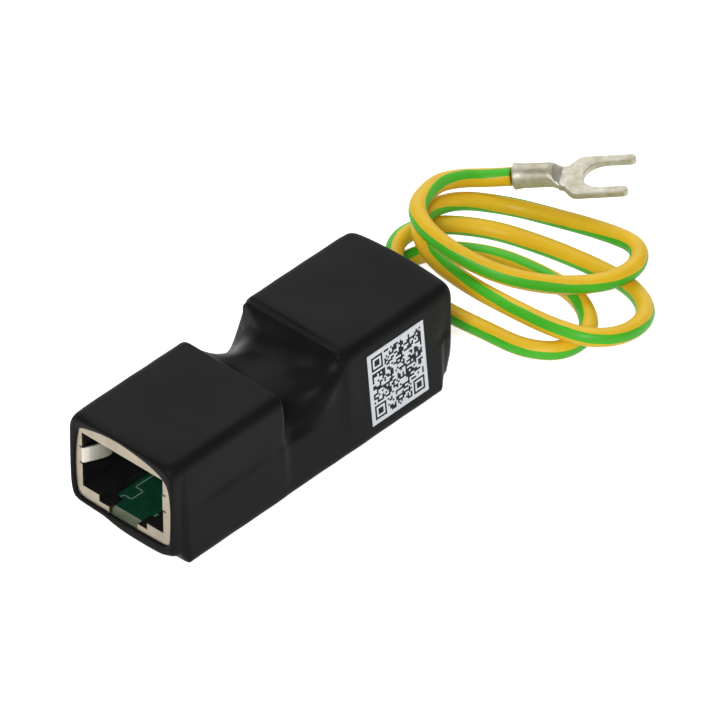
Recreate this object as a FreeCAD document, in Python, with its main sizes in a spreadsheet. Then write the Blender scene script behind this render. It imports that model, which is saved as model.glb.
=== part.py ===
"""Ethernet surge protector: two shielded sockets on one board in a shrunk sleeve, with an earth wire.

Millimetres. +X to the right of somebody who looks into the front socket, +Y from the front socket to the
rear one, +Z up. The origin is on the floor, under the middle of the board.
"""
import FreeCAD, Part

import math
import os

import Sketcher
from FreeCAD import Placement, Rotation, Vector

# Driving dimensions
SIZES = {
    "film": 0.35,                # wall of the shrunk sleeve
    "film_gap": 0.05,            # between the sleeve and what it wraps
    "lip_reach": 0.4,            # how far the sleeve stands out past the plates
    "rim_setback": 0.8,          # from a plate's face back to the sleeve's rounded rim
    "heel_setback": 2.5,         # from a plate's face back to where the sleeve is full
    "sleeve_slack": 0.05,        # room beside a socket, at the sleeve's top
    "sleeve_foot_slack": 0.35,   # room beside the board, at the sleeve's foot
    "sleeve_corner_top": 1.55,
    "sleeve_corner_foot": 0.65,
    "sleeve_crown": 0.1,         # rise of the sleeve's top between its corners
    "foot_press": 0.05,          # how much of the sleeve's foot the floor presses flat
    "rim_foot_inset": 0.15,
    "rim_lift": 0.95,            # how far a rim's lower edge curls up off the floor
    "lip_side": 0.37,            # the sleeve's wall beside a plate
    "lip_drop": 0.25,
    "lip_crown": 0.3,
    "lip_corner": 1.5,
    "lip_floor_drop": 0.85,      # from the board's top down to the lowest point of the room behind a lip
    "lip_room_crown": 0.02,
    "mouth_side": 0.2,           # how much of a plate's side the lip covers
    "mouth_drop": 1.25,          # from the sockets' top down to a mouth's upper corners
    "mouth_crown": 1.15,
    "mouth_corner": 0.6,
    "valley_inset": 0.2,
    "valley_room": 2.35,         # from the gas tubes up to the height that the sleeve would sink to
    "valley_corner": 5.9,
    "dip_share": 0.96,           # share of that sinking that it reaches
    "dip_offset": 2.2,           # the left side is lowest this far behind the middle, the right one before it
    "dip_gentle": 1.3,           # powers of the sleeve's long and short slopes into the dip
    "dip_steep": 6.0,
    "board_side": 0.35,          # how far the board stands out beside the sockets
    "board_thickness": 1.6,
    "board_gap": 1.05,           # room for the solder under the board
    "board_setback": 1.0,
    "jack_height": 10.52,
    "jack_corner": 0.9,
    "shield_metal": 0.25,
    "shield_skirt": 0.48,        # how far a front plate reaches down past the board's top
    "window_width": 12.2,
    "window_side": 1.25,         # a plate's metal beside its window
    "window_height": 7.45,
    "window_sill": 1.22,         # from the board up to a window's lower edge
    "latch_width": 7.25,
    "latch_drop": 0.88,
    "latch_gap_width": 4.3,
    "ledge_depth": 2.1,
    "channel_width": 6.6,
    "spring_height": 2.0,
    "spring_rise": 3.25,         # from a window's lower edge up to the springs
    "spring_reach": 0.9,         # how far a spring bulges into the socket
    "spring_length": 3.4,
    "spring_metal": 0.2,
    "plug_depth": 13.0,
    "block_thickness": 3.5,
    "tail_room": 0.9,            # behind the contact block, up to a socket's back
    "contact_count": 8,
    "contact_pitch": 1.02,
    "contact_width": 0.4,
    "contact_metal": 0.3,
    "contact_gap": 0.06,
    "contact_front": 2.0,        # from a plate's face back to the contacts' front bend
    "contact_dip": 2.3,          # how far the contacts' free ends hang down
    "contact_run": 8.0,
    "tube_diameter": 4.4,
    "tube_length": 4.6,
    "tube_cap": 0.7,
    "tube_centre": 2.3,
    "tube_gap": 0.5,             # between the tubes
    "tube_clearance": 0.25,      # from a tube to a socket's back
    "diode_length": 3.4,
    "diode_width": 2.6,
    "diode_height": 2.1,
    "diode_centre": 3.2,
    "diode_lead": 0.45,
    "diode_lead_metal": 0.4,
    "resistor_length": 1.3,
    "resistor_width": 3.2,
    "resistor_height": 0.6,
    "resistor_centre": 6.5,
    "resistor_cap": 0.35,
    "solder_diameter": 0.8,
    "solder_height": 0.75,
    "solder_row_setback": 3.2,   # from a socket's back to its row of joints under the board
    "wire_diameter": 2.2,
    "copper_diameter": 1.3,
    "wire_side_gap": 0.2,        # between the earth wire and the socket that it passes
    "strip_setback": 0.9,        # from a socket's back to where the wire's covering ends beside it
    "copper_turn_gap": 1.0,      # from that socket's back to the middle of the copper that turns in
    "copper_reach": 3.05,        # from the earth wire's middle line to the copper's end
    "swell_taper": 3.0,          # length over which the sleeve swells for the wire
    "swell_lead": 1.7,           # from where it is fully swollen to the rear socket's back
    "swell_tip": 0.4,
    "swell_tip_reach": 0.8,
    "swell_shoulder": 3.6,       # from the wire up to where the fully grown swelling leaves the dip's wall
    "swell_room_lead": 1.2,      # from the swelling's start to the room in it
    "swell_top_gap": 0.6,        # from the sleeve's rounded corner down to where it leaves the wall
    "swell_foot": 0.75,
    "swell_depth": 1.0,          # how far the swelling is sunk into the wall behind it
    "lug_length": 1.8,
    "lug_width": 2.0,
    "label_height": 9.9,
    "label_length": 9.6,
    "label_paper": 0.1,
    "label_foot": 1.6,           # from the floor up to the label's lower edge
    "label_end_gap": 3.9,        # from the label to the rear plate
    "barrel_length": 4.7,
    "barrel_diameter": 2.9,
    "barrel_mouth": 3.15,
    "barrel_bore": 2.3,
    "barrel_bore_depth": 4.0,
    "barrel_flare": 1.4,
    "barrel_pinch": 0.9,
    "barrel_pinch_length": 1.6,
    "fork_metal": 0.8,
    "fork_drop": 0.75,           # from the barrel's middle down to the middle of the fork's metal
    "fork_width": 7.0,
    "fork_slot": 4.25,
    "fork_neck": 3.4,
    "fork_neck_start": 4.2,
    "fork_neck_end": 5.8,
    "fork_shoulder": 7.2,
    "fork_slot_start": 8.0,
    "fork_length": 14.0,
    "fork_tip_round": 1.1,
    "strand_gap": 0.35,          # bare copper between the wire's covering and the terminal
    "strand_inside": 3.2,
}

# Places that follow from the driving dimensions
PLACES = {
    "tube_pitch": "tube_diameter + tube_gap",
    "jack_back": "tube_pitch / 2 + tube_diameter / 2 + tube_clearance",
    "jack_depth": "plug_depth + block_thickness + tail_room",
    "plate_face": "jack_back + jack_depth",
    "board_floor": "film + film_gap + board_gap",
    "board_top": "board_floor + board_thickness",
    "jack_top": "board_top + jack_height",
    "jack_half": "window_width / 2 + window_side",
    "board_width": "2 * ( jack_half + board_side )",
    "sleeve_half_top": "jack_half + film_gap + film + sleeve_slack",
    "sleeve_half_foot": "board_width / 2 + film_gap + film + sleeve_foot_slack",
    "rim_half_foot": "sleeve_half_foot - rim_foot_inset",
    "lip_half": "jack_half + lip_side",
    "lip_floor": "board_top - lip_floor_drop",
    "lip_lift": "lip_floor - film",
    "mouth_half": "jack_half - mouth_side",
    "valley_half_top": "sleeve_half_top - valley_inset",
    "valley_height": "board_top + tube_diameter + valley_room",
    "sleeve_top": "jack_top + film_gap + film",
    "sleeve_end": "plate_face + lip_reach",
    "window_floor": "board_top + window_sill",
    "ceiling": "window_floor + window_height",
    "spring_floor": "window_floor + spring_rise",
    "spring_radius": "(spring_length ^ 2 / 4 + spring_reach ^ 2) / (2 * spring_reach)",
    "wire_radius": "wire_diameter / 2",
    "wire_side": "jack_half + wire_side_gap + wire_radius",
    "wire_height": "board_top + film_gap + wire_radius",
    "lug_top": "wire_height - copper_diameter / 2",
}

# Route of the earth wire's middle line, from the sleeve to the terminal
EARTH_ROUTE = [
    (-8.65, 22.7, 4.2),
    (-8.65, 25.5, 4.2),
    (-9.1, 29.0, 1.5),
    (-10.4, 33.4, 1.1),
    (-9.0, 38.2, 1.1),
    (-3.7, 41.9, 1.1),
    (2.3, 43.0, 1.1),
    (8.8, 43.0, 1.1),
    (14.2, 39.4, 1.1),
    (14.6, 34.2, 1.1),
    (10.8, 31.4, 1.1),
    (5.2, 31.0, 1.1),
    (-0.4, 30.0, 1.6),
    (-6.0, 28.9, 3.7),
    (-11.1, 33.2, 3.9),
    (-11.4, 39.6, 2.8),
    (-7.0, 45.0, 1.4),
    (-0.6, 47.1, 1.1),
    (5.8, 48.1, 1.1),
    (12.2, 48.4, 1.1),
    (17.6, 45.2, 1.8),
    (19.2, 39.6, 2.9),
    (17.0, 35.6, 3.4),
    (12.4, 34.3, 3.4),
    (6.7, 33.9, 3.4),
    (0.6, 33.8, 3.3),
    (-6.0, 33.8, 4.3),
    (-10.6, 36.9, 5.7),
    (-11.3, 43.8, 4.0),
    (-7.6, 49.3, 1.9),
    (-1.5, 51.3, 2.0),
    (4.8, 52.2, 2.9),
    (10.0, 52.2, 3.5),
    (12.5, 48.8, 3.5),
    (11.3, 43.9, 3.4),
    (7.2, 39.4, 3.7),
    (2.8, 35.5, 5.2),
    (-3.8, 33.4, 7.2),
    (-9.3, 34.7, 8.4),
    (-11.8, 41.2, 7.4),
    (-11.6, 45.5, 5.9),
    (-10.3, 48.4, 4.95),
    (-7.7, 50.0, 5.6),
]
# Share of the shorter run beside a corner that the wire's bend there takes up
BEND_SHARE = 0.45
# The terminal carries on along the wire's last run; the flat of its fork faces FORK_NORMAL
FORK_NORMAL = Vector(-0.168, -0.143, 0.976)

# Stations between the sockets, as shares of the way from the middle to a socket's back
DIP_STATIONS = (-0.85, -0.66, -0.45, -0.2, 0.0, 0.2, 0.45, 0.66, 0.85)

X_AXIS = Vector(1, 0, 0)
Y_AXIS = Vector(0, 1, 0)
Z_AXIS = Vector(0, 0, 1)
FRONT = ("front", -1)
REAR = ("rear", 1)

doc = FreeCAD.newDocument("surge_protector")
sheet = doc.addObject("Spreadsheet::Sheet", "Sizes")
parts = []


def fill_sheet():
    """Write the driving dimensions and the places that follow from them into the sheet."""
    rows = [(alias, str(value)) for alias, value in SIZES.items()]
    rows += [(alias, "=" + formula) for alias, formula in PLACES.items()]
    for row, (alias, content) in enumerate(rows, start=1):
        sheet.set(f"A{row}", alias)
        sheet.set(f"B{row}", content)
        sheet.setAlias(f"B{row}", alias)
    doc.recompute()


def size(alias):
    """The value of one cell of the sheet."""
    return float(sheet.get(alias))


def cells(formula):
    """Turn the plain aliases of a formula into references to the sheet's cells."""
    words = []
    for word in formula.split():
        bare = word.strip("()-")
        words.append(word.replace(bare, "Sizes." + bare) if bare in SIZES or bare in PLACES else word)
    return " ".join(words)


def bind(thing, path, formula):
    """Bind one property of a document object to a formula over the sheet's aliases."""
    thing.setExpression(path, cells(formula))


def move(thing, x=None, y=None, z=None):
    """Bind the coordinates of an object's place."""
    for letter, formula in (("x", x), ("y", y), ("z", z)):
        if formula is not None:
            bind(thing, f"Placement.Base.{letter}", formula)


def block(name, length, width, height, x, y, z):
    """A box that is centred on x and y and stands on z."""
    box = doc.addObject("Part::Box", name)
    bind(box, "Length", length)
    bind(box, "Width", width)
    bind(box, "Height", height)
    move(box, f"{x} - ( {length} ) / 2", f"{y} - ( {width} ) / 2", z)
    return box


def bar(name, radius, length, axis, x, y, z):
    """A cylinder that starts at a place and runs along an axis."""
    cylinder = doc.addObject("Part::Cylinder", name)
    cylinder.Placement = Placement(Vector(), Rotation(Z_AXIS, axis))
    bind(cylinder, "Radius", radius)
    bind(cylinder, "Height", length)
    move(cylinder, x, y, z)
    return cylinder


def cone(name, start_radius, end_radius, length, axis, x, y, z):
    """A cone frustum that starts at a place and runs along an axis."""
    frustum = doc.addObject("Part::Cone", name)
    frustum.Placement = Placement(Vector(), Rotation(Z_AXIS, axis))
    bind(frustum, "Radius1", start_radius)
    bind(frustum, "Radius2", end_radius)
    bind(frustum, "Height", length)
    move(frustum, x, y, z)
    return frustum


def join(name, pieces):
    """Fuse document objects into one."""
    fusion = doc.addObject("Part::MultiFuse", name)
    fusion.Shapes = pieces
    return fusion


def group(name, pieces):
    """Keep document objects that don't touch together as one object."""
    compound = doc.addObject("Part::Compound", name)
    compound.Links = pieces
    return compound


def cut(name, base, tools):
    """Take document objects away from another one."""
    result = doc.addObject("Part::Cut", name)
    result.Base = base
    result.Tool = tools[0] if len(tools) == 1 else join(name + "_tools", tools)
    return result


def keep(thing, label):
    """Name a finished sub-part, and put it on the list of those that are written."""
    thing.Label = label
    parts.append(thing)
    return thing


def new_body(name):
    body = doc.addObject("PartDesign::Body", name)
    body.AllowCompound = True
    return body


def sketch_on(body, role, name, offset=None):
    """A sketch on one of a body's own origin planes, moved along the plane's normal by a formula."""
    sketch = body.newObject("Sketcher::SketchObject", name)
    support = next(item for item in body.Origin.OriginFeatures if item.Role == role)
    sketch.AttachmentSupport = [(support, "")]
    sketch.MapMode = "FlatFace"
    if offset is not None:
        bind(sketch, "AttachmentOffset.Base.z", offset)
    return sketch


def pin(sketch, kind, geometry, point, formula):
    """Bind one coordinate of a point of a sketch to a formula."""
    name = f"place_{sketch.ConstraintCount}"
    index = sketch.addConstraint(Sketcher.Constraint(kind, -1, 1, geometry, point, 1.0))
    sketch.renameConstraint(index, name)
    bind(sketch, f"Constraints.{name}", formula)


def outline(sketch, corners):
    """A closed outline of straight lines whose corners are pairs of formulas."""
    count = len(corners)
    first = sketch.GeometryCount
    turn = 2 * math.pi / count
    starts = [Vector(math.cos(turn * k), math.sin(turn * k), 0) for k in range(count)]
    for start, end in zip(starts, starts[1:] + starts[:1]):
        sketch.addGeometry(Part.LineSegment(start, end), False)
    for side in range(count):
        follower = first + (side + 1) % count
        sketch.addConstraint(Sketcher.Constraint("Coincident", first + side, 2, follower, 1))
    for side, (across, up) in enumerate(corners):
        pin(sketch, "DistanceX", first + side, 1, across)
        pin(sketch, "DistanceY", first + side, 1, up)


def rectangle(sketch, half, low, high):
    """A rectangle that is centred on the sketch's upright axis."""
    outline(sketch, [(f"-( {half} )", low), (half, low), (half, high), (f"-( {half} )", high)])


def pad(body, sketch, name, length):
    """Material from a sketch on the front plane towards the back of a socket."""
    feature = body.newObject("PartDesign::Pad", name)
    feature.Profile = sketch
    feature.Reversed = True
    bind(feature, "Length", length)
    return feature


def pocket(body, sketch, name, length=None):
    """A cut from a sketch on the front plane towards the back of a socket, right through by default."""
    feature = body.newObject("PartDesign::Pocket", name)
    feature.Profile = sketch
    if length is None:
        feature.Type = "ThroughAll"
    else:
        bind(feature, "Length", length)
    return feature


def round_top(body, base, name, half, top, radius):
    """Round the two upper edges that run from the front of a socket to its back."""
    doc.recompute()
    edges = []
    for number, edge in enumerate(base.Shape.Edges, start=1):
        ends = [vertex.Point for vertex in edge.Vertexes]
        level = all(abs(point.z - top) < 1e-4 and abs(abs(point.x) - half) < 1e-4 for point in ends)
        if level and abs(ends[0].y - ends[-1].y) > 1:
            edges.append(f"Edge{number}")
    fillet = body.newObject("PartDesign::Fillet", name)
    fillet.Base = (base, edges)
    bind(fillet, "Radius", radius)
    return fillet


def seat_socket_body(body, side):
    """Stand a body that is drawn with its plate at the origin at the front or rear of the board."""
    turn = 0 if side < 0 else 180
    body.Placement = Placement(Vector(), Rotation(Z_AXIS, turn))
    move(body, y=f"{side} * plate_face")


def make_shield(end, side):
    """Bent metal shield: a front plate with the socket's window, two sides and a top."""
    body = new_body(f"{end}_shield_body")
    half = "jack_half"
    shell = sketch_on(body, "XZ_Plane", f"{end}_shell_outline")
    rectangle(shell, half, "board_top", "jack_top")
    pad(body, shell, f"{end}_shell", "jack_depth")
    room = sketch_on(body, "XZ_Plane", f"{end}_room_outline", "-( shield_metal )")
    inner_half = "jack_half - shield_metal"
    inner_top = "jack_top - shield_metal"
    rectangle(room, inner_half, "board_top - jack_corner", inner_top)
    inside = pocket(body, room, f"{end}_room")
    flat_half = size("jack_half") - size("shield_metal")
    flat_top = size("jack_top") - size("shield_metal")
    bent = round_top(body, inside, f"{end}_room_bend", flat_half, flat_top, "jack_corner - shield_metal")
    round_top(body, bent, f"{end}_shell_bend", size("jack_half"), size("jack_top"), "jack_corner")
    skirt = sketch_on(body, "XZ_Plane", f"{end}_skirt_outline")
    rectangle(skirt, half, "board_top - shield_skirt", "board_top")
    pad(body, skirt, f"{end}_skirt", "shield_metal")
    openings = [
        ("window", "window_width / 2", "window_floor", "ceiling"),
        ("latch", "latch_width / 2", "window_floor - latch_drop", "ceiling"),
        ("gap", "latch_gap_width / 2", "board_top - 2 * shield_skirt", "ceiling"),
    ]
    for word, opening_half, low, high in openings:
        hole = sketch_on(body, "XZ_Plane", f"{end}_{word}_outline")
        rectangle(hole, opening_half, low, high)
        feature = pocket(body, hole, f"{end}_{word}", "shield_metal")
    body.Tip = feature
    seat_socket_body(body, side)
    return keep(body, f"{end}_shield")


def make_housing(end, side):
    """Moulded insert of a socket: a tunnel for the plug with a ledge for its latch."""
    body = new_body(f"{end}_housing_body")
    core = sketch_on(body, "XZ_Plane", f"{end}_core_outline", "-( shield_metal )")
    rectangle(core, "jack_half - shield_metal", "board_top", "jack_top - shield_metal")
    solid = pad(body, core, f"{end}_core", "jack_depth - shield_metal")
    flat_half = size("jack_half") - size("shield_metal")
    flat_top = size("jack_top") - size("shield_metal")
    round_top(body, solid, f"{end}_core_bend", flat_half, flat_top, "jack_corner - shield_metal")
    behind_ledge = "plug_depth - ledge_depth"
    spring_half = "window_width / 2 + spring_metal + film_gap"
    tail_start = "-( plug_depth ) - block_thickness"
    cuts = [
        ("tunnel", "shield_metal", "window_width / 2", "window_floor", "ceiling", None),
        ("latch_step", "shield_metal", "latch_width / 2", "window_floor - latch_drop",
         "ceiling", "ledge_depth - shield_metal"),
        ("latch_gap", "shield_metal", "latch_gap_width / 2", "board_top", "ceiling",
         "ledge_depth - shield_metal"),
        ("channel", "ledge_depth", "channel_width / 2", "board_top", "ceiling", behind_ledge),
        ("spring_room", "shield_metal", spring_half, "spring_floor - film_gap",
         "spring_floor + spring_height + film_gap", "spring_length + spring_metal"),
    ]
    for word, start, half, low, high, depth in cuts:
        hole = sketch_on(body, "XZ_Plane", f"{end}_{word}_outline", f"-( {start} )")
        rectangle(hole, half, low, high)
        pocket(body, hole, f"{end}_{word}", depth)
    tails = sketch_on(body, "XZ_Plane", f"{end}_tail_room_outline", tail_start)
    tail_half = "contact_count * contact_pitch / 2"
    rectangle(tails, tail_half, "board_top", "ceiling")
    body.Tip = pocket(body, tails, f"{end}_tail_room")
    seat_socket_body(body, side)
    return keep(body, f"{end}_housing")


def make_springs(end, side):
    """Two bowed grounding springs behind the window's sides."""
    middle = f"{side} * ( plate_face - shield_metal - spring_length / 2 )"
    springs = []
    for word, hand in (("left", -1), ("right", 1)):
        centre = f"{hand} * ( window_width / 2 + spring_metal - spring_reach + spring_radius )"
        place = (centre, middle, "spring_floor")
        name = f"{end}_{word}_spring"
        outside = bar(name + "_outside", "spring_radius", "spring_height", Z_AXIS, *place)
        inside = bar(name + "_inside", "spring_radius - spring_metal", "spring_height", Z_AXIS, *place)
        ring = cut(name + "_ring", outside, [inside])
        strip = f"{hand} * ( window_width / 2 + spring_metal - spring_reach / 2 )"
        bow = block(name + "_bow", "spring_reach", "spring_length", "spring_height", strip, middle,
                    "spring_floor")
        spring = doc.addObject("Part::Common", name)
        spring.Base = ring
        spring.Tool = bow
        springs.append(spring)
    return keep(group(f"{end}_spring_pair", springs), f"{end}_springs")


def make_contact_block(end, side):
    """Moulded block at the back of the tunnel that holds the contacts."""
    middle = f"{side} * ( plate_face - plug_depth - block_thickness / 2 )"
    height = "window_height - 2 * contact_gap - contact_metal"
    piece = block(f"{end}_block", "window_width", "block_thickness", height, "0", middle, "window_floor")
    return keep(piece, f"{end}_contact_block")


def make_contacts(end, side):
    """A row of spring contacts: up the back of the block, along the ceiling and back down."""
    body = new_body(f"{end}_contacts_body")
    profile = sketch_on(body, "YZ_Plane", f"{end}_contact_outline", "-( contact_width ) / 2")
    tail = "plug_depth + block_thickness + contact_gap"
    top = "ceiling - contact_gap"
    under = "ceiling - contact_gap - contact_metal"
    free = "contact_front + contact_run"
    bend = "contact_front + contact_run * 2 * contact_metal / ( contact_dip + contact_metal )"
    outline(profile, [
        (f"{tail} + contact_metal", "board_top"),
        (f"{tail} + contact_metal", top),
        ("contact_front", top),
        (free, f"{under} - contact_dip"),
        (free, f"{under} - contact_dip + contact_metal"),
        (bend, under),
        (tail, under),
        (tail, "board_top"),
    ])
    strip = body.newObject("PartDesign::Pad", f"{end}_contact")
    strip.Profile = profile
    bind(strip, "Length", "contact_width")
    doc.recompute()
    row = body.newObject("PartDesign::LinearPattern", f"{end}_contact_row")
    row.Originals = [strip]
    axis = next(item for item in body.Origin.OriginFeatures if item.Role == "X_Axis")
    row.Direction = (axis, [""])
    bind(row, "Length", "contact_pitch * ( contact_count - 1 )")
    bind(row, "Occurrences", "contact_count")
    body.Tip = row
    seat_socket_body(body, side)
    move(body, x=f"{side} * contact_pitch * ( contact_count - 1 ) / 2")
    return keep(body, f"{end}_contacts")


def make_solder_row(end, side):
    """Solder joints of the contacts under the board."""
    joints = []
    row_place = f"{side} * ( jack_back + solder_row_setback )"
    for number in range(int(size("contact_count"))):
        across = f"contact_pitch * ( {number} - ( contact_count - 1 ) / 2 )"
        joints.append(cone(f"{end}_joint_{number}", "solder_diameter / 4", "solder_diameter / 2",
                           "solder_height", Z_AXIS, across, row_place, "board_floor - solder_height"))
    return keep(group(f"{end}_joints", joints), f"{end}_solder")


def make_board():
    length = "2 * ( plate_face - board_setback )"
    piece = block("board", "board_width", length, "board_thickness", "0", "0", "board_floor")
    return keep(piece, "circuit_board")


def make_gas_tubes():
    """Two gas discharge tubes between the sockets: a ceramic barrel each, with a metal cap at both ends."""
    radius = "tube_diameter / 2"
    height = "board_top + tube_diameter / 2"
    barrels = []
    caps = []
    for number, hand in enumerate((-1, 1)):
        along = f"{hand} * tube_pitch / 2"
        start = "-( tube_centre ) - tube_length / 2"
        barrels.append(bar(f"tube_{number}", radius, "tube_length", X_AXIS, start, along, height))
        for word, place in (("inner", "-( tube_centre ) + tube_length / 2"), ("outer", f"{start} - tube_cap")):
            caps.append(bar(f"tube_cap_{number}_{word}", radius, "tube_cap", X_AXIS, place, along, height))
    keep(group("tube_pair", barrels), "gas_tubes")
    keep(group("tube_cap_set", caps), "gas_tube_caps")


def make_diodes():
    """Two clamp diodes beside the tubes, with a bent lead at each end."""
    bodies = []
    leads = []
    for number, hand in enumerate((-1, 1)):
        along = f"{hand} * tube_pitch / 2"
        bodies.append(block(f"diode_{number}", "diode_length", "diode_width", "diode_height",
                            "diode_centre", along, "board_top"))
        for word, end in (("inner", -1), ("outer", 1)):
            across = f"diode_centre + {end} * ( diode_length + diode_lead ) / 2"
            leads.append(block(f"diode_{number}_lead_{word}", "diode_lead", "diode_width / 2",
                               "diode_lead_metal", across, along, "board_top"))
    keep(group("diode_pair", bodies), "clamp_diodes")
    keep(group("diode_lead_set", leads), "diode_leads")


def make_resistors():
    """Two surge resistors at the board's right edge, with metal ends."""
    bodies = []
    ends = []
    for number, hand in enumerate((-1, 1)):
        along = f"{hand} * tube_pitch / 2"
        bodies.append(block(f"resistor_{number}", "resistor_length", "resistor_width", "resistor_height",
                            "resistor_centre", along, "board_top"))
        for word, end in (("inner", -1), ("outer", 1)):
            across = f"resistor_centre + {end} * ( resistor_length + resistor_cap ) / 2"
            ends.append(block(f"resistor_{number}_end_{word}", "resistor_cap", "resistor_width",
                              "resistor_height", across, along, "board_top"))
    keep(group("resistor_pair", bodies), "surge_resistors")
    keep(group("resistor_end_set", ends), "resistor_ends")


def rounded_corner(corner, before, after, radius):
    """Start, middle and end of the arc that rounds a corner between two straight sides."""
    back = (before - corner).normalize()
    on = (after - corner).normalize()
    half_angle = back.getAngle(on) / 2
    reach = radius / math.tan(half_angle)
    inward = (back + on).normalize()
    middle = corner + inward * (radius / math.sin(half_angle) - radius)
    return corner + back * reach, middle, corner + on * reach


def section(place, half_top, half_foot, low, high, corner_top, corner_foot, crown):
    """One rounded, slightly crowned section of the sleeve, in a plane across its length.

    The heights and the radii of its upper corners are pairs, for the left and the right.
    """
    left_top, right_top = high
    corners = [
        Vector(-half_foot, place, low),
        Vector(half_foot, place, low),
        Vector(half_top, place, right_top),
        Vector(-half_top, place, left_top),
    ]
    radii = [corner_foot, corner_foot, corner_top[1], corner_top[0]]
    bends = []
    for number, corner in enumerate(corners):
        bends.append(rounded_corner(corner, corners[number - 1], corners[(number + 1) % 4], radii[number]))
    edges = []
    for number, (start, middle, end) in enumerate(bends):
        edges.append(Part.Arc(start, middle, end).toShape())
        following = bends[(number + 1) % 4][0]
        if number == 2:
            peak = (end + following) / 2 + Vector(0, 0, crown)
            edges.append(Part.Arc(end, peak, following).toShape())
        else:
            edges.append(Part.LineSegment(end, following).toShape())
    return Part.Wire(edges)


def both(value):
    """The same value for the left and the right."""
    return (value, value)


def dip(place, lowest):
    """How far the sleeve has sunk towards its valley, from 0 at a socket's back, on one side."""
    back = size("jack_back")
    run = back + lowest if place < lowest else back - lowest
    power = size("dip_gentle") if run > back else size("dip_steep")
    return size("dip_share") * (1 - (abs(place - lowest) / run) ** power)


def dip_section(place, low, inset):
    """Section of the sleeve between the sockets, where its two sides sink by different amounts."""
    sinks = (dip(place, size("dip_offset")), dip(place, -size("dip_offset")))
    drop = size("sleeve_top") - size("valley_height")
    growth = size("valley_corner") - size("sleeve_corner_top")
    high = [size("sleeve_top") - sink * drop - inset for sink in sinks]
    corner_top = [size("sleeve_corner_top") + sink * growth - inset for sink in sinks]
    half_top = size("sleeve_half_top") - max(sinks) * (size("sleeve_half_top") - size("valley_half_top"))
    return section(place, half_top - inset, size("sleeve_half_foot") - inset, low, high, corner_top,
                   size("sleeve_corner_foot") - inset / 2, size("sleeve_crown"))


def end_section(place, half_foot, low, inset):
    """Section of the sleeve over a socket."""
    return section(place, size("sleeve_half_top") - inset, half_foot - inset, low,
                   both(size("sleeve_top") - inset), both(size("sleeve_corner_top") - inset),
                   size("sleeve_corner_foot") - inset / 2, size("sleeve_crown"))


def sleeve_sections(low, inset):
    """Sections of the sleeve from its front rim to its rear rim, with a foot at a height and pulled in."""
    back = size("jack_back")
    full = size("sleeve_half_foot")
    heel = size("plate_face") - size("heel_setback")
    rim = size("plate_face") - size("rim_setback")
    sections = [
        end_section(-rim, size("rim_half_foot"), size("rim_lift") + inset, inset),
        end_section(-heel, full, low, inset),
        end_section(-back, full, low, inset),
    ]
    sections += [dip_section(back * share, low, inset) for share in DIP_STATIONS]
    sections += [
        end_section(back, full, low, inset),
        end_section(heel, full, low, inset),
        end_section(rim, size("rim_half_foot"), size("rim_lift") + inset, inset),
    ]
    return sections


def tangent_foot(anchor, middle, radius, side):
    """Unit normal of the line from an anchor that just touches a circle, in a plane across the sleeve."""
    away = anchor - middle
    lean = math.acos(radius / away.Length)
    return Rotation(Y_AXIS, side * math.degrees(lean)).multVec(away.normalize())


def swell_section(place, radius, top, foot, inset):
    """Section of the sleeve's swelling: pulled tight from the wall round the wire and back to the wall.

    Top and foot are the places on the wall, as (x, z), where the film leaves it.
    """
    middle = Vector(-size("wire_side"), place, size("wire_height"))
    upper = Vector(top[0], place, top[1])
    lower = Vector(foot[0], place, foot[1])
    upper_normal = tangent_foot(upper, middle, radius, -1)
    lower_normal = tangent_foot(lower, middle, radius, 1)
    between = (upper_normal + lower_normal).normalize()
    kept = radius - inset
    bend = [middle + normal * kept for normal in (upper_normal, between, lower_normal)]
    start = upper - upper_normal * inset
    end = lower - lower_normal * inset
    inward = X_AXIS * size("swell_depth")
    return Part.Wire([
        Part.LineSegment(start, bend[0]).toShape(),
        Part.Arc(*bend).toShape(),
        Part.LineSegment(bend[2], end).toShape(),
        Part.LineSegment(end, end + inward).toShape(),
        Part.LineSegment(end + inward, start + inward).toShape(),
        Part.LineSegment(start + inward, start).toShape(),
    ])


def swell_sections(inset):
    """Sections of the swelling from its tip between the sockets, to the rear lip or to the room's end."""
    radius = size("wire_radius") + size("film_gap") + size("film")
    tip = size("swell_tip")
    reach = size("swell_tip_reach")
    wall_top = -size("sleeve_half_top")
    wall_foot = -size("sleeve_half_foot")
    leave = size("sleeve_top") - size("sleeve_corner_top") - size("swell_top_gap")
    high = (wall_top, leave)
    low = (wall_foot, size("swell_foot"))
    grown = size("jack_back") - size("swell_lead")
    start = grown - size("swell_taper")
    middle = size("wire_height")
    beside = -size("wire_side")
    if inset:
        start = start + size("swell_room_lead")
        share = size("swell_room_lead") / size("swell_taper")
        tip = tip + (radius - tip) * share
        reach = tip * reach / size("swell_tip")
    rim = size("plate_face") - size("rim_setback")
    sections = [
        swell_section(start, tip, (wall_top, middle + reach), (wall_top, middle - reach), inset),
        swell_section(grown, radius, (beside + radius, middle + size("swell_shoulder")), low, inset),
        swell_section(size("jack_back"), radius, high, low, inset),
        swell_section(rim, radius, high, (wall_foot, size("rim_lift") + size("swell_foot")), inset),
    ]
    if not inset:
        lip_edge = -size("lip_half")
        end = size("plate_face") + size("lip_reach")
        sections.append(swell_section(end, radius, (lip_edge, leave - size("lip_drop")),
                                      (lip_edge, size("lip_lift") + size("swell_foot")), inset))
    return sections


def lip_section(place):
    """Outer outline of the sleeve's lip."""
    high = size("sleeve_top") - size("lip_drop")
    return section(place, size("lip_half"), size("lip_half"), size("lip_lift"), both(high),
                   both(size("lip_corner")), size("sleeve_corner_foot"), size("lip_crown"))


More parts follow.
